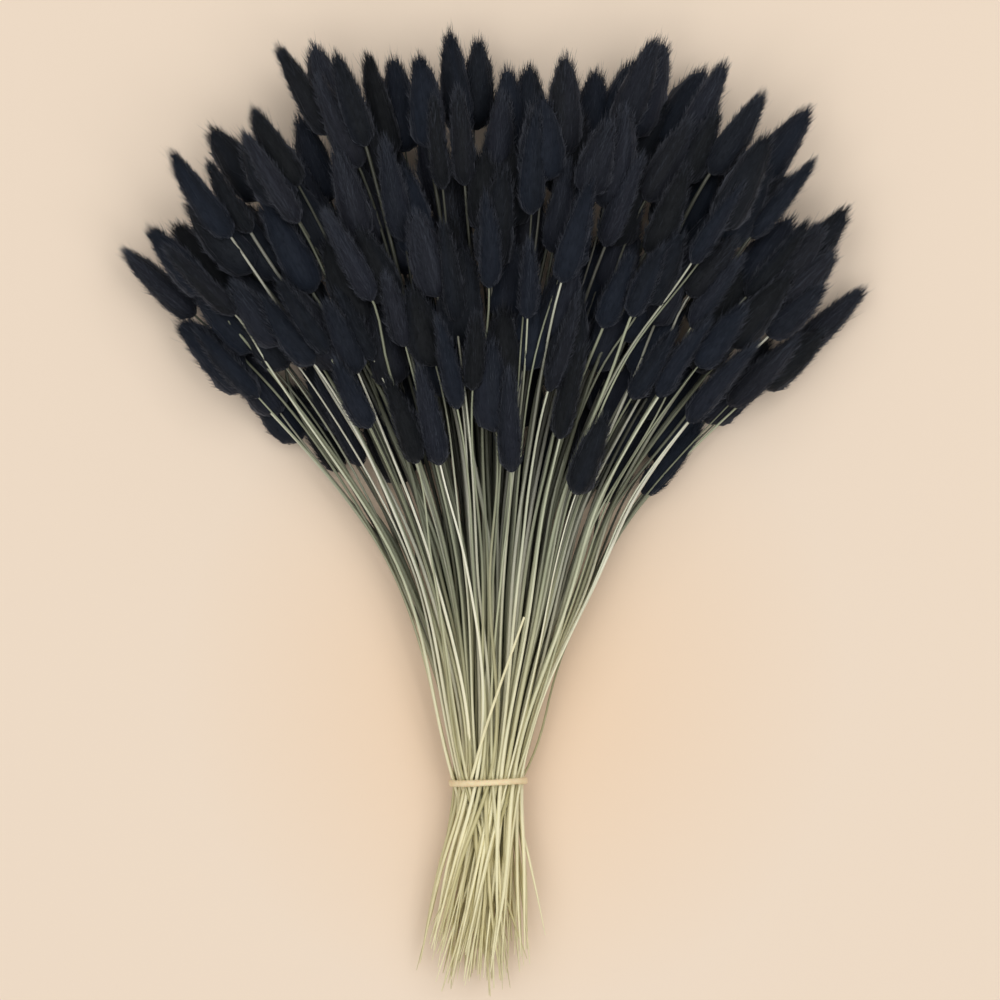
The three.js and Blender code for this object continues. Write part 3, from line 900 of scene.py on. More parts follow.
@dataclass
class Weave:
    """Collects vertices, faces, attributes and places on the baked map for one mesh."""

    vertices: list[Array] = field(default_factory=list)
    normals: list[Array] = field(default_factory=list)
    faces: list[tuple[Kind, Array, Array]] = field(default_factory=list)
    values: dict[str, list[Array]] = field(default_factory=dict)
    total: int = 0

    def add(self, points: Array, normals: Array, values: Mapping[str, Array]) -> int:
        """Add vertices with their normals and attributes.

        Args:
            points: The places.
            normals: The smooth normals.
            values: An array for each attribute.

        Returns:
            The number of the first vertex.
        """
        first = self.total
        self.vertices.append(points.reshape(-1, 3))
        self.normals.append(normals.reshape(-1, 3))
        for name, value in values.items():
            width = 3 if value.shape[-1:] == (3,) and value.size == points.size else 1
            self.values.setdefault(name, []).append(value.reshape(-1, width))
        self.total += len(self.vertices[-1])
        return first

    def add_faces(self, kind: Kind, corners: Array, uv: Array) -> None:
        """Add faces with the places of their corners on the baked map."""
        self.faces.append((kind, corners.reshape(-1, kind.value), uv.reshape(-1, 2)))

    def add_tube(self, grid: Array, sheet: BakeSheet, margin: float) -> Array:
        """Add the faces between rings of vertices.

        Args:
            grid: The numbers of the vertices, by ring and side.
            sheet: The baked map's places.
            margin: The share of the tile that is kept for the cap at each end.

        Returns:
            The places of the faces' corners on the baked map, by ring, side and corner.
        """
        rings, sides = grid.shape
        after = np.roll(grid, -1, 1)
        corners = np.stack([grid[:-1], after[:-1], after[1:], grid[1:]], -1)
        k, r = np.meshgrid(np.arange(sides), np.arange(rings - 1))
        u = np.stack([k, k + 1, k + 1, k], -1) / sides
        v = np.stack([r, r, r + 1, r + 1], -1) / (rings - 1)
        places = sheet.skin(u, v * (1 - 2 * margin) + margin)
        self.add_faces(Kind.QUAD, corners[..., ::-1], places[..., ::-1, :])
        return places

    def add_cap(self, grid: Array, places: Array, middle: int, top: bool, inset: float) -> None:
        """Close an end of a tube with a fan of triangles.

        Args:
            grid: The numbers of the tube's vertices, by ring and side.
            places: The places of the tube's corners on the baked map.
            middle: The number of the vertex in the middle of the end.
            top: Whether it is the last ring's end.
            inset: How far from the tube the middle is on the baked map.
        """
        ring = grid[-1 if top else 0]
        near, far = (places[-1, :, 3], places[-1, :, 2]) if top else (places[0, :, 0], places[0, :, 1])
        fan = np.stack([ring, np.roll(ring, -1), np.full(len(ring), middle)], -1)
        uv = np.stack([near, far, (near + far) / 2 + [0, inset if top else -inset]], 1)
        order = slice(None) if top else slice(None, None, -1)
        self.add_faces(Kind.TRIANGLE, fan[:, order], uv[:, order])

    def build(self, name: str, material: bpy.types.Material) -> bpy.types.Object:
        """Make the mesh object in metres.

        Args:
            name: The piece's name.
            material: Its material.

        Returns:
            The object, in the scene.
        """
        points = np.concatenate(self.vertices) * MM
        corners = np.concatenate([f[1].ravel() for f in self.faces])
        sizes = np.concatenate([np.full(len(f[1]), f[0].value) for f in self.faces])
        mesh = bpy.data.meshes.new(name)
        mesh.vertices.add(len(points))
        mesh.vertices.foreach_set("co", points.ravel().astype(np.float32))
        mesh.loops.add(len(corners))
        mesh.loops.foreach_set("vertex_index", corners.astype(np.int32))
        mesh.polygons.add(len(sizes))
        starts = np.concatenate([[0], np.cumsum(sizes)[:-1]])
        mesh.polygons.foreach_set("loop_start", starts.astype(np.int32))
        mesh.update(calc_edges=True)
        mesh.validate()
        mesh.shade_smooth()
        for key, blocks in self.values.items():
            self.set_values(mesh, key, np.concatenate(blocks))
        places = np.concatenate([f[2] for f in self.faces])
        layer = mesh.uv_layers.new(name="OFBake")
        layer.uv.foreach_set("vector", places.ravel().astype(np.float32))
        mesh.materials.append(material)
        mesh.normals_split_custom_set_from_vertices(unit(np.concatenate(self.normals)))
        made = bpy.data.objects.new(name, mesh)
        bpy.context.scene.collection.objects.link(made)
        return made

    @staticmethod
    def set_values(mesh: bpy.types.Mesh, name: str, values: Array) -> None:
        """Store an attribute with one number or three a vertex.

        Args:
            mesh: The mesh.
            name: The attribute's name.
            values: Its numbers, by vertex.
        """
        kind, key = ("FLOAT", "value") if values.shape[1] == 1 else ("FLOAT_VECTOR", "vector")
        layer = mesh.attributes.new(name, kind, "POINT")
        layer.data.foreach_set(key, values.ravel().astype(np.float32))


@dataclass
class Strands:
    """Thin ribbons that stand for hairs. Each has a root, a direction and a slight curl."""

    root: Array
    direction: Array
    outward: Array
    length: Array
    width: Array
    curl: Array
    roll: Array
    steps: int
    taper: float = 0.6
    floor: float = 0.15
    lift_out: float = 0.85
    lift_along: float = 0.5

    def weave_into(
        self, weave: Weave, sheet: BakeSheet, values: Callable[[Array], dict[str, Array]]
    ) -> None:
        """Add the ribbons to a mesh.

        Args:
            weave: The mesh's collector.
            sheet: The baked map's places.
            values: Gives the attributes from each vertex's share along its ribbon.
        """
        count = len(self.root)
        side = unit(np.cross(self.direction, self.outward))
        face = np.cross(side, self.direction)
        side = side * np.cos(self.roll)[:, None] + face * np.sin(self.roll)[:, None]
        share = np.append(np.repeat(np.arange(self.steps) / self.steps, 2), 1.0)
        hand = np.append(np.tile([-0.5, 0.5], self.steps), 0.0)
        along = self.length[:, None] * share[None]
        points = self.root[:, None] + self.direction[:, None] * along[..., None]
        points = points + self.curl[:, None] * (self.length[:, None] * share[None] ** 2)[..., None]
        breadth = self.width[:, None] * (1 - share[None]) ** self.taper * hand[None]
        points = points + side[:, None] * breadth[..., None]
        points[..., 2] = np.maximum(points[..., 2], self.floor)
        lift = unit(self.outward * self.lift_out + self.direction * self.lift_along)
        normals = np.broadcast_to(lift[:, None], points.shape)
        first = weave.add(points, normals, values(np.broadcast_to(share[None], points.shape[:2])))
        starts = first + np.arange(count)[:, None] * len(share)
        quads = np.array([[2 * k, 2 * k + 1, 2 * k + 3, 2 * k + 2] for k in range(self.steps - 1)])
        places = sheet.strands(count, hand + 0.5, share)
        weave.add_faces(Kind.QUAD, starts[:, :, None] + quads[None], places[:, quads])
        end = np.array([2 * self.steps - 2, 2 * self.steps - 1, 2 * self.steps])
        weave.add_faces(Kind.TRIANGLE, starts + end[None], places[:, end])


@dataclass(frozen=True)
class HairKind:
    """One kind of hair on a head.

    The span is the stretch of the head it grows on, as shares of its length. The splay is the angle to the
    head's axis in degrees at the two ends of the span. The loft is how light a hair is at its root and at
    its end, from 0 to 1: greyer hair ends and painted sheen. The steps are the faces along its ribbon.
    """

    count: int
    span: Span
    splay: Span
    length: Span
    width: Span
    loft: Span
    steps: int


SHORT_DOWN = HairKind(940, (0.0, 0.97), (48, 20), (2.2, 4.2), (0.26, 0.46), (0.05, 0.55), 2)
LONG_DOWN = HairKind(230, (0.08, 0.97), (32, 12), (3.8, 6.5), (0.17, 0.3), (0.1, 0.75), 3)
TIP_DOWN = HairKind(90, (0.86, 1.0), (22, 6), (3, 6.5), (0.2, 0.34), (0.1, 0.7), 3)
AWNS = HairKind(24, (0.4, 0.97), (30, 12), (7, 11), (0.12, 0.19), (0.1, 0.6), 4)


@dataclass
class SeedHead:
    """One downy head: a slim body of packed spikelets under short down, with longer hairs at its tip.

    A lump wave is its height, its waves round the head, the sign of its phase and its waves along the head.
    """

    base: Array
    axis: Array
    length: float
    radius: float
    tone: float
    tint: float
    plump: float
    dice: np.random.Generator
    kinds: tuple[HairKind, ...] = (SHORT_DOWN, LONG_DOWN, TIP_DOWN, AWNS)
    rings: int = 13
    sides: int = 14
    bow_range: Span = (0.3, 1.6)
    girth_places: tuple[float, ...] = (0, 0.03, 0.09, 0.2, 0.33, 0.5, 0.68, 0.84, 0.94, 1)
    girth_shares: tuple[float, ...] = (0.2, 0.6, 0.87, 1.0, 1.0, 0.93, 0.79, 0.57, 0.35, 0.05)
    lump_waves: tuple[tuple[float, float, float, float], ...] = (
        (0.05, 3, 1, 5),
        (0.04, 5, -1, -16),
        (0.03, 2, 1, 27),
        (0.03, 7, 1, 31),
    )
    streak_scale: tuple[float, float, float] = (5.12, 5.12, 1.44)
    streak_shift: float = 50
    floor: float = 0.2
    skin_lean_places: tuple[float, ...] = (0, 0.05, 0.2, 0.5, 0.9, 1)
    skin_leans: tuple[float, ...] = (-3, -1, -0.1, 0.15, 0.5, 1.5)
    # greyer down and painted sheen: the body's skin is lighter towards the head's tip
    skin_loft: float = 0.15
    cap_margin: float = 0.04
    cap_inset: float = 0.002
    root_share: float = 0.93
    splay_stray: float = 6
    swirl: float = 0.16
    base_reach_places: tuple[float, ...] = (0, 0.12, 1)
    base_reach: tuple[float, ...] = (0.7, 1, 1)
    curl_along: Span = (0.05, 0.3)
    curl_inward: Span = (0.0, 0.2)
    roll_most: float = 1.1
    light_stray: float = 0.09
    light_limits: Span = (-0.25, 0.3)
    # greyer down and painted sheen: hairs nearer the head's tip are lighter, and those near its base darker
    tip_sheen: float = 0.3
    tip_sheen_middle: float = 0.45

    def __post_init__(self) -> None:
        """Set up the head's own directions and its slight bow."""
        self.side = unit(np.cross(self.axis, [0.0, 0.0, 1.0]))
        self.up = np.cross(self.side, self.axis)
        turn = self.dice.uniform(0, FULL_TURN)
        way = self.side * math.cos(turn) + self.up * math.sin(turn)
        self.bow = self.dice.uniform(*self.bow_range) * way
        self.lumps = self.dice.uniform(0, FULL_TURN, len(self.lump_waves))
        self.seed_shift = self.dice.uniform(-self.streak_shift, self.streak_shift, 3)

    @property
    def hair_total(self) -> int:
        """Return how many ribbons the head has."""
        return sum(kind.count for kind in self.kinds)

    def girth(self, share: Array, turn: Array) -> Array:
        """Work out the body's radius, with low lumps where spikelets press out.

        Args:
            share: How far along the head, from 0 to 1.
            turn: The angle round it.

        Returns:
            The radius.
        """
        body = np.interp(share, self.girth_places, self.girth_shares)
        lump = sum(
            height * np.sin(across * turn + sign * phase + along * share)
            for (height, across, sign, along), phase in zip(self.lump_waves, self.lumps, strict=True)
        )
        return self.radius * self.plump * body * (1 + lump)

    def axis_point(self, share: Array) -> Array:
        """Return the middle of the head at a share of its length."""
        bend = (4 * share * (1 - share))[..., None] * self.bow
        return self.base + self.axis * (share * self.length)[..., None] + bend

    def around(self, turn: Array) -> Array:
        """Return the outward direction at a turn round the head."""
        return self.side * np.cos(turn)[..., None] + self.up * np.sin(turn)[..., None]

    def values(self, share: Array, turn: Array, loft: Array) -> dict[str, Array]:
        """Work out the attributes of vertices on the head.

        Args:
            share: How far along the head each is, from 0 to 1.
            turn: The angle round it.
            loft: How light each is, from 0 to 1, for greyer hair ends and painted sheen.

        Returns:
            The attributes, where combed is a place in which noise is stretched along the head.
        """
        tone, tint = np.full(share.shape, self.tone), np.full(share.shape, self.tint)
        combed = np.stack([np.cos(turn), np.sin(turn), share], -1) * self.streak_scale + self.seed_shift
        return {"tone": tone, "tint": tint, "loft": loft, "combed": combed}

    def weave_body(self, weave: Weave, sheet: BakeSheet) -> None:
        """Add the body, a closed skin round the head's axis.

        Args:
            weave: The mesh's collector.
            sheet: The baked map's places.
        """
        share, turn = np.meshgrid(np.linspace(0, 1, self.rings), angles(self.sides), indexing="ij")
        out = self.around(turn)
        points = self.axis_point(share) + out * self.girth(share, turn)[..., None]
        points[..., 2] = np.maximum(points[..., 2], self.floor)
        lean = np.interp(share, self.skin_lean_places, self.skin_leans)
        normals = unit(out + self.axis * lean[..., None])
        first = weave.add(points, normals, self.values(share, turn, self.skin_loft * share))
        grid = first + np.arange(share.size).reshape(share.shape)
        places = weave.add_tube(grid, sheet, self.cap_margin)
        for end, way, top in ((0.0, -1, False), (1.0, 1, True)):
            at = np.array([end])
            middle = self.axis_point(at)
            middle[..., 2] = np.maximum(middle[..., 2], self.floor)
            number = weave.add(middle, way * self.axis[None], self.values(at, at * 0, self.skin_loft * at))
            weave.add_cap(grid, places, number, top, self.cap_inset)

    def weave_hairs(self, weave: Weave, sheet: BakeSheet, kind: HairKind) -> None:
        """Add the hairs of one kind.

        Args:
            weave: The mesh's collector.
            sheet: The baked map's places.
            kind: The kind of hair.
        """
        dice, count = self.dice, kind.count
        share = dice.uniform(*kind.span, count)
        turn = dice.uniform(0, FULL_TURN, count)
        out = self.around(turn)
        root = self.axis_point(share) + out * (self.girth(share, turn) * self.root_share)[:, None]
        angle = np.radians(np.interp(share, kind.span, kind.splay) + dice.normal(0, self.splay_stray, count))
        swirl = dice.normal(0, self.swirl, count)[:, None] * np.cross(self.axis, out)
        direction = unit(self.axis * np.cos(angle)[:, None] + out * np.sin(angle)[:, None] + swirl)
        length = dice.uniform(*kind.length, count) * np.interp(share, self.base_reach_places, self.base_reach)
        forward = self.axis * dice.uniform(*self.curl_along, count)[:, None]
        curl = forward - out * dice.uniform(*self.curl_inward, count)[:, None]
        width = dice.uniform(*kind.width, count)
        roll = dice.uniform(-self.roll_most, self.roll_most, count)
        light = np.clip(dice.normal(0, self.light_stray, count), *self.light_limits)[:, None]
        tip_sheen = self.tip_sheen * (share[:, None] - self.tip_sheen_middle)

        def values(along: Array) -> dict[str, Array]:
            """Work out the attributes of the ribbons' vertices.

            Args:
                along: How far along its ribbon each is, from 0 to 1.

            Returns:
                The attributes.
            """
            rise = kind.loft[0] + (kind.loft[1] - kind.loft[0]) * along + tip_sheen
            spots = [np.broadcast_to(x[:, None], along.shape) for x in (share, turn)]
            return self.values(spots[0], spots[1], np.clip(rise + light, 0, 1))

        Strands(root, direction, out, length, width, curl, roll, kind.steps).weave_into(weave, sheet, values)

    def weave_into(self, weave: Weave, sheet: BakeSheet) -> None:
        """Add the whole head to a mesh.

        Args:
            weave: The mesh's collector.
            sheet: The baked map's places.
        """
        self.weave_body(weave, sheet)
        for kind in self.kinds:
            self.weave_hairs(weave, sheet, kind)


@dataclass
class Heads:
    """All seed heads. Each clump of the solids becomes one piece.

    A head that lies open is slim, and one that others cover is plumper, so that no table shows between them.
    """

    planting: Planting
    seed: int = 5
    inside_shares: tuple[float, ...] = (0.15, 0.27, 0.39, 0.51, 0.63, 0.75)
    probe: tuple[float, float, float] = (0.36, 0.48, 0.8)
    core_length: float = 0.96
    tone_shape: Span = (1.3, 1.6)
    plumpness: Span = (0.62, 0.8)
    covered_shares: tuple[float, ...] = (0.15, 0.35, 0.55, 0.75, 0.95)
    covered_reach: float = 11
    covered_drop: float = 6
    covered_plumpness: float = 0.58

    def build(self) -> None:
        """Build a piece for each node of heads and let it stand for that node."""
        material = DownFinish().make()
        self.covered = self.find_covered()
        for node, numbers in self.sort_to_nodes().items():
            heads = [self.head(number) for number in numbers]
            sheet = BakeSheet(len(heads), sum(head.hair_total for head in heads))
            weave = Weave()
            for head in heads:
                head.weave_into(weave, sheet)
            piece = weave.build(node.replace("heads", "down"), material)
            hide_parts(node)
            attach(piece, "root")
            LOG.info("%s: %d heads, %d faces", piece.name, len(heads), len(piece.data.polygons))

    def head(self, number: int) -> SeedHead:
        """Set up one head.

        Args:
            number: Its number in the planting.

        Returns:
            The head.
        """
        p = self.planting
        dice = np.random.default_rng([self.seed, number])
        tone, tint = dice.beta(*self.tone_shape), dice.uniform(0, 1)
        seat = p.seat()[number]
        length = self.core_length * p.length[number]
        plump = dice.uniform(*self.plumpness) + self.covered_plumpness * self.covered[number]
        return SeedHead(seat, p.direction[number], length, p.radius[number], tone, tint, plump, dice)

    def find_covered(self) -> Array:
        """Find how far each head lies under others.

        Returns:
            The covered share of each head, from 0 to 1.
        """
        spots = self.planting.places_along(self.covered_shares)
        apart = spots[:, :, None, None] - spots[None, None]
        near = np.linalg.norm(apart[..., :2], axis=-1) < self.covered_reach
        return (near & (apart[..., 2] < -self.covered_drop)).any((2, 3)).mean(1)

    def sort_to_nodes(self) -> dict[str, list[int]]:
        """Find the node that each head's solid is fused into.

        Returns:
            The numbers of the heads by node.
        """
        names = sorted(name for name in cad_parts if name.startswith("heads_"))
        trees = {name: self.tree(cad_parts[name]) for name in names}
        found: dict[str, list[int]] = {name: [] for name in names}
        for number, spots in enumerate(self.planting.places_along(self.inside_shares)):
            points = [Vector(spot) for spot in spots * MM]
            held = {name: sum(self.holds(tree, point) for point in points) for name, tree in trees.items()}
            found[max(held, key=held.get)].append(number)
        return found

    @staticmethod
    def tree(node: bpy.types.Object) -> BVHTree:
        """Return a search tree of a node's faces in the shared frame."""
        corners = [node.matrix_world @ v.co for v in node.data.vertices]
        return BVHTree.FromPolygons(corners, [tuple(p.vertices) for p in node.data.polygons])

    def holds(self, tree: BVHTree, point: Vector) -> bool:
        """Tell whether a point lies inside a closed mesh, by counting the walls on the way out.

        Args:
            tree: The mesh's faces.
            point: The point, in metres.

        Returns:
            Whether it is inside.
        """
        way = Vector(self.probe)
        walls = 0
        spot = tree.ray_cast(point, way)[0]
        while spot is not None:
            walls += 1
            spot = tree.ray_cast(spot + way * TINY, way)[0]
        return walls % 2 == 1


@dataclass
class Stems:
    """All stems, as slim ribbed straws that cross below the band, and one loose straw.

    Depth is how far a place lies under the pile's top, from 0 to 1. Stems under the top get painted shade,
    which darkens them, and are stouter, so that the gaps between the upper ones stay dark.
    """

    planting: Planting
    seed: int = 17
    sides: int = 6
    steps: int = 44
    girth_places: tuple[float, ...] = (0, 0.03, 0.1, 0.22, 0.5, 1)
    girth_radii: tuple[float, ...] = (0.22, 0.45, 0.85, 1.12, 0.85, 0.5)
    girth_range: Span = (0.55, 1.15)
    flatness: Span = (0.82, 1.0)
    seat_depth: float = 6
    edge: float = 0.92
    bulge_end: float = 150
    bulge_places: tuple[float, ...] = (0, 0.85, 1.2)
    bulge_shares: tuple[float, ...] = (0, 0.15, -0.13)
    wave_height: float = 0.35
    wave_length: float = 19
    half_stray: Span = (1.2, 0.5)
    lowest: float = 1.2
    floor: float = 0.15
    end_stray: float = 3.5
    crossing_share: float = 0.4
    crossing_reach: float = -0.75
    crossing_stray: float = 5
    flyaway_share: float = 0.12
    flyaway_push: float = 1.6
    flyaway_room: Span = (2, 12)
    tail_room: float = 28
    tail_shift: float = -7
    cut_stray: Span = (-3, 14)
    cut_lift: float = 1.0
    # painted shade: stems darken with how far they lie under the pile's top, less near the cut ends
    shaded_depth: float = 23
    open_depth: float = 0.15
    shade_places: Span = (-60, 30)
    shade_shares: Span = (0.1, 1)
    painted_shade_most: float = 0.9
    deep_girth: float = 0.55
    tone_shape: Span = (0.9, 0.9)
    ripe_places: tuple[float, ...] = (-40, 60, 160)
    ripe_shares: tuple[float, ...] = (1.0, 0.55, 0.0)
    fibre_round: float = 1.4
    fibre_length: float = 22
    fibre_shift: float = 60
    cap_margin: float = 0.01
    cap_inset: float = 0.004
    straw_knots: tuple[tuple[float, float, float], ...] = ((-9, 0, 28), (-3, 22, 34.5), (18, 84, 46))
    straw_steps: int = 24
    straw_girths: Span = (0.85, 0.6)
    straw_tone: float = 0.95
    straw_age: float = 0.9

    def build(self) -> None:
        """Build the stems as one piece that stands for their node."""
        p = self.planting
        dice = np.random.default_rng(self.seed)
        total = p.count + 1
        sheet = BakeSheet(total, 1, skin_part=1.0, skin_columns=total)
        weave = Weave()
        for number in range(p.count):
            self.weave_stem(weave, sheet, self.path(number, dice), self.girths(dice), dice)
        straw = self.curve(np.array(self.straw_knots, float), self.straw_steps)
        girths = np.linspace(*self.straw_girths, self.straw_steps)
        self.weave_stem(weave, sheet, straw, girths, dice, self.straw_tone, self.straw_age)
        piece = weave.build("straws", StrawFinish().make())
        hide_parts("stems")
        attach(piece, "root")
        LOG.info("%s: %d stems, %d faces", piece.name, p.count, len(piece.data.polygons))

    def path(self, number: int, dice: np.random.Generator) -> Array:
        """Work out the middle line of a stem, smooth through the bends of its solid.

        Args:
            number: The stem's number in the planting.
            dice: Random numbers for its small strays.

        Returns:
            The points from the cut end to the head.
        """
        p = self.planting
        last = p.last[number]
        bends = zip(p.points[number, : last + 1], p.ys[number], strict=False)
        knots = np.array([(x, y, z) for (x, z), y in bends])
        middle, room = p.lean * knots[:, 1], self.edge * p.fan_half_width(knots[:, 1])
        knots[1:last, 0] = np.clip(knots[:, 0], middle - room, middle + room)[1:last]
        end = self.cut_end(p.tails[number], dice)
        stray = [dice.normal(0, self.half_stray[0]), 0, dice.normal(0, self.half_stray[1])]
        half = knots[0] + (end - knots[0]) * 0.5 + stray
        inside = knots[-1] + p.direction[number] * self.seat_depth
        path = self.curve(np.vstack([end, half, knots, inside]), self.steps)
        wave = np.sin(path[:, 1] / self.wave_length + dice.uniform(0, FULL_TURN))
        path[:, 0] += self.bulge(path) + self.wave_height * wave
        path[:, 2] = np.maximum(path[:, 2], self.lowest)
        return path

    def bulge(self, path: Array) -> Array:
        """Work out how far a stem of the right side bows out above the band, the outermost ones least.

        Args:
            path: The stem's middle line.

        Returns:
            How far each point moves in x.
        """
        half = self.planting.fan_half_width(path[:, 1])
        out = (path[:, 0] - self.planting.lean * path[:, 1]) / half
        risen = np.sin(math.pi * np.clip(path[:, 1] / self.bulge_end, 0, 1)) ** 2
        return half * risen * np.interp(out, self.bulge_places, self.bulge_shares)

    def cut_end(self, tail: Array, dice: np.random.Generator) -> Array:
        """Choose where a stem ends below the band. Many cross to the other side, and a few fly out.

        Args:
            tail: Where its solid ends.
            dice: Random numbers.

        Returns:
            The end.
        """
        x = tail[0] + dice.normal(0, self.end_stray)
        if dice.random() < self.crossing_share:
            x = self.crossing_reach * tail[0] + dice.normal(0, self.crossing_stray)
        room = self.tail_room
        if dice.random() < self.flyaway_share:
            x *= self.flyaway_push
            room += dice.uniform(*self.flyaway_room)
        x = np.clip(x, -room, room) + self.tail_shift
        return np.array([x, tail[1] + dice.uniform(*self.cut_stray), tail[2] + dice.normal(0, self.cut_lift)])

    @staticmethod
    def curve(knots: Array, steps: int) -> Array:
        """Draw a smooth curve through knots.

        Args:
            knots: The knots.
            steps: How many points.

        Returns:
            Points at equal steps of the knots' own length.
        """
        run = np.append(0, np.cumsum(np.linalg.norm(np.diff(knots, axis=0), axis=1)))
        slopes = np.gradient(knots, run, axis=0)
        at = np.linspace(0, run[-1], steps)
        k = np.clip(np.searchsorted(run, at, side="right") - 1, 0, len(run) - 2)
        size = (run[k + 1] - run[k])[:, None]
        t = (at - run[k])[:, None] / size
        h00, h10 = 2 * t**3 - 3 * t**2 + 1, t**3 - 2 * t**2 + t
        h01, h11 = 3 * t**2 - 2 * t**3, t**3 - t**2
        return h00 * knots[k] + h10 * size * slopes[k] + h01 * knots[k + 1] + h11 * size * slopes[k + 1]

    def girths(self, dice: np.random.Generator) -> Array:
        """Return a stem's radius from its cut end to its head."""
        at = np.linspace(0, 1, self.steps)
        return np.interp(at, self.girth_places, self.girth_radii) * dice.uniform(*self.girth_range)

    def depth(self, path: Array) -> Array:
        """Work out how far under the pile's top a stem lies, for its painted shade and its girth.

        Args:
            path: The stem's middle line.

        Returns:
            The depth at each point, from 0 to 1, and near 0 at the cut ends.
        """
        under = self.planting.roof(path[:, 0], path[:, 1]) - path[:, 2]
        depth = np.clip(under / self.shaded_depth - self.open_depth, 0, 1)
        return depth * np.interp(path[:, 1], self.shade_places, self.shade_shares)

    def weave_stem(
        self,
        weave: Weave,
        sheet: BakeSheet,
        path: Array,
        girths: Array,
        dice: np.random.Generator,
        tone: float | None = None,
        age: float | None = None,
    ) -> None:
        """Add one stem to the mesh.

        Args:
            weave: The mesh's collector.
            sheet: The baked map's places.
            path: Its middle line.
            girths: Its radius at each point.
            dice: Random numbers.
            tone: How light it is, drawn if None.
            age: How straw-coloured it is all along, or None to ripen towards the cut end.
        """
        along = unit(np.gradient(path, axis=0))
        side = unit(np.cross(along, [0.0, 0.0, 1.0]))
        up = np.cross(side, along)
        turn = angles(self.sides) + dice.uniform(0, FULL_TURN)
        flat = dice.uniform(*self.flatness)
        out = side[:, None] * np.cos(turn)[None, :, None] + up[:, None] * np.sin(turn)[None, :, None] * flat
        depth = self.depth(path)
        points = path[:, None] + out * (girths * (1 + self.deep_girth * depth))[:, None, None]
        points[..., 2] = np.maximum(points[..., 2], self.floor)
        light = dice.beta(*self.tone_shape) if tone is None else tone
        ripe = np.interp(path[:, 1], self.ripe_places, self.ripe_shares) if age is None else age
        shape = (len(path), self.sides)
        ring = np.stack([np.cos(turn), np.sin(turn)], -1) * self.fibre_round
        fibre = np.zeros((*shape, 3))
        fibre[..., :2] = ring
        fibre[..., 2] = (path[:, 1] / self.fibre_length)[:, None]
        values = {
            "tone": np.full(shape, light),
            "age": np.broadcast_to(np.reshape(ripe, (-1, 1)), shape),
            # painted shade: darker where the stem lies under the pile's top
            "depth": np.broadcast_to(self.painted_shade_most * depth[:, None], shape),
            "fibre": fibre + dice.uniform(-self.fibre_shift, self.fibre_shift, 3),
        }
        grid = weave.add(points, unit(out), values) + np.arange(points[..., 0].size).reshape(shape)
        places = weave.add_tube(grid, sheet, self.cap_margin)
        for row, way, top in ((0, -1, False), (-1, 1, True)):
            own = {key: value[row][:1] for key, value in values.items()}
            middle = weave.add(path[row], way * along[row], own)
            weave.add_cap(grid, places, middle, top, self.cap_inset)


@dataclass
class Band:
    """The rubber band, with a rounded section and a slight roll, pressed flat under the bundle.

    A width wave is its height, its waves round the band and its phase, and so is the wander.
    """

    planting: Planting
    side_clear: float = 0.2
    width: float = 3.2
    thick_roundness: float = 0.8
    width_roundness: float = 0.7
    width_waves: tuple[tuple[float, float, float], ...] = ((0.05, 3, 1), (0.03, 7, 0))
    wander: tuple[float, float, float] = (0.2, 2, 0.6)
    turn_degrees: float = 1.8
    bow: float = 0.9
    segments: int = 96
    sides: int = 12
    mottle_radius: float = 20

    def build(self) -> None:
        """Build the band as a piece that stands for its node."""
        a, s = np.meshgrid(angles(self.segments), angles(self.sides), indexing="ij")
        along = self.along(a, s)
        swing = math.radians(self.turn_degrees)
        cos, sin = math.cos(swing), math.sin(swing)
        spin = np.array([[cos, sin, 0], [-sin, cos, 0], [0, 0, 1]])
        out = np.stack([np.cos(a), np.zeros_like(a), np.sin(a)], -1)
        normals = out * np.cos(s)[..., None] + np.array([0, 1.0, 0]) * np.sin(s)[..., None]
        round_place = np.stack([np.cos(a) * self.mottle_radius, along, np.sin(a) * self.mottle_radius], -1)
        weave = Weave()
        first = weave.add(self.points(a, s, along) @ spin, normals @ spin, {"round": round_place})
        grid = first + np.arange(a.size).reshape(a.shape)
        right, up = np.roll(grid, -1, 0), np.roll(grid, -1, 1)
        corners = np.stack([grid, up, np.roll(right, -1, 1), right], -1)
        r, k = np.meshgrid(np.arange(self.segments), np.arange(self.sides), indexing="ij")
        u = np.stack([r, r, r + 1, r + 1], -1) / self.segments
        v = np.stack([k, k + 1, k + 1, k], -1) / self.sides
        weave.add_faces(Kind.QUAD, corners, np.stack([u, v], -1))
        piece = weave.build("tie_band", RubberFinish().make())
        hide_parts("band")
        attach(piece, "root")
        LOG.info("%s: %d faces", piece.name, len(piece.data.polygons))

    def along(self, a: Array, s: Array) -> Array:
        """Work out where the band's skin lies along the stems.

        Args:
            a: The angle round the bundle.
            s: The angle round the band's section.

        Returns:
            The y of each point before the band is turned.
        """
        swell = 1 + sum(height * np.sin(waves * a + phase) for height, waves, phase in self.width_waves)
        height, waves, phase = self.wander
        middle = height * np.sin(waves * a + phase) + self.bow * np.sin(a)
        return self.width / 2 * swell * rounded(np.sin(s), self.width_roundness) + middle

    def points(self, a: Array, s: Array, along: Array) -> Array:
        """Work out the points of the band's skin.

        Args:
            a: The angle round the bundle.
            s: The angle round the band's section.
            along: The y of each point.

        Returns:
            The points, where none is under the table.
        """
        p = self.planting
        across = p.band_thick / 2 * (1 + rounded(np.cos(s), self.thick_roundness))
        radius_x = p.tie_half_width + p.stem_radius_tie + self.side_clear + across
        radius_z = p.tie_middle - p.band_thick + across
        height = np.maximum(p.tie_middle + radius_z * np.sin(a), 0.0)
        return np.stack([radius_x * np.cos(a), along, height], -1)


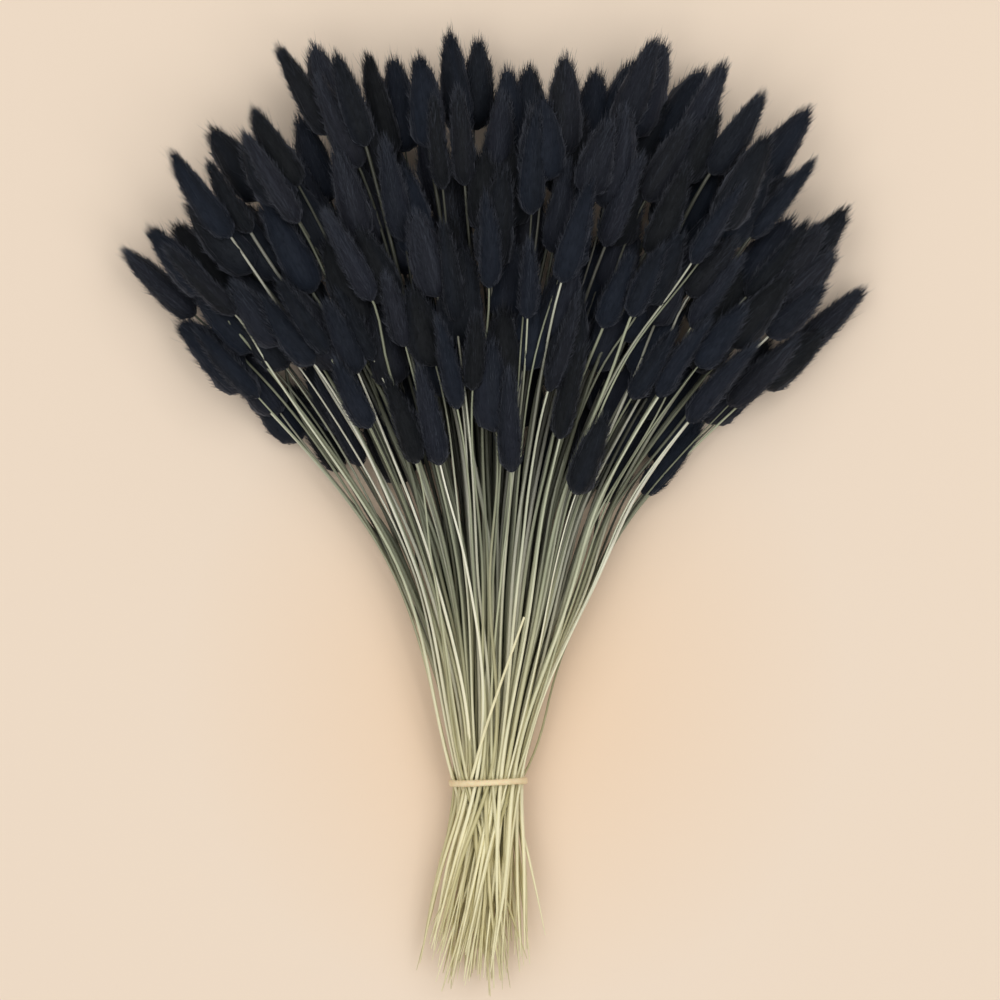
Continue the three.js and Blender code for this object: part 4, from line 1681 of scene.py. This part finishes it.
@dataclass
class Studio:
    """Table, lights and camera, in metres. A lamp is its place, its size and its power in watts."""

    middle: Span = (0.006, 0.142)
    frame_width: float = 0.5
    camera_height: float = 2.0
    focus_height: float = 0.03
    sensor_mm: float = 36.0
    table_half: float = 3.0
    lamp_colour: tuple[float, float, float] = (1.0, 1.0, 0.99)
    room_colour: Colour = (1.0, 0.965, 0.915, 1.0)
    room_strength: float = 0.36
    lamps: tuple[tuple[tuple[float, float, float], float, float], ...] = (
        ((1.1, 1.1, 2.5), 1.8, 23.0),
        ((-1.2, 1.0, 2.5), 2.0, 20.0),
        ((-1.0, -1.2, 2.5), 2.0, 17.5),
        ((1.2, -1.0, 2.5), 2.0, 16.0),
    )

    def build(self) -> None:
        """Set the stage up."""
        self.add_table()
        self.add_camera()
        for place, size, power in self.lamps:
            self.add_light(place, size, power)
        world = bpy.data.worlds.new("soft_room")
        world.use_nodes = True
        background = world.node_tree.nodes["Background"]
        background.inputs["Color"].default_value = self.room_colour
        background.inputs["Strength"].default_value = self.room_strength
        bpy.context.scene.world = world
        bpy.context.scene.view_settings.view_transform = "Standard"
        LOG.info("studio: %d lamps", len(self.lamps))

    def add_table(self) -> None:
        """Lay the plain table under the bunch."""
        mesh = bpy.data.meshes.new("table")
        half = self.table_half
        corners = [(-half, -half, 0), (half, -half, 0), (half, half, 0), (-half, half, 0)]
        mesh.from_pydata(corners, [], [(0, 1, 2, 3)])
        mesh.materials.append(TableFinish().make())
        table = bpy.data.objects.new("table", mesh)
        bpy.context.scene.collection.objects.link(table)

    def add_camera(self) -> None:
        """Look straight down on the bunch, with the photograph's frame."""
        data = bpy.data.cameras.new("above")
        data.sensor_width = self.sensor_mm
        data.lens = self.sensor_mm * (self.camera_height - self.focus_height) / self.frame_width
        camera = bpy.data.objects.new("above", data)
        camera.location = (*self.middle, self.camera_height)
        bpy.context.scene.collection.objects.link(camera)
        bpy.context.scene.camera = camera

    def add_light(self, place: tuple[float, float, float], size: float, power: float) -> None:
        """Add a soft square lamp that points at the bunch.

        Args:
            place: Where it hangs.
            size: The length of its side.
            power: Its power in watts.
        """
        data = bpy.data.lights.new("softbox", "AREA")
        data.size = size
        data.energy = power
        data.color = self.lamp_colour
        lamp = bpy.data.objects.new("softbox", data)
        lamp.location = place
        aim = Vector((*self.middle, self.focus_height)) - Vector(place)
        lamp.rotation_euler = aim.to_track_quat("-Z", "Y").to_euler()
        bpy.context.scene.collection.objects.link(lamp)


def main() -> None:
    """Build the bunch, the table and the lights."""
    logging.basicConfig(level=logging.INFO, format="%(message)s")
    planting = Planting()
    LOG.info("%d heads planted", planting.count)
    Stems(planting).build()
    Band(planting).build()
    Heads(planting).build()
    Studio().build()


if __name__ == "__main__":
    main()
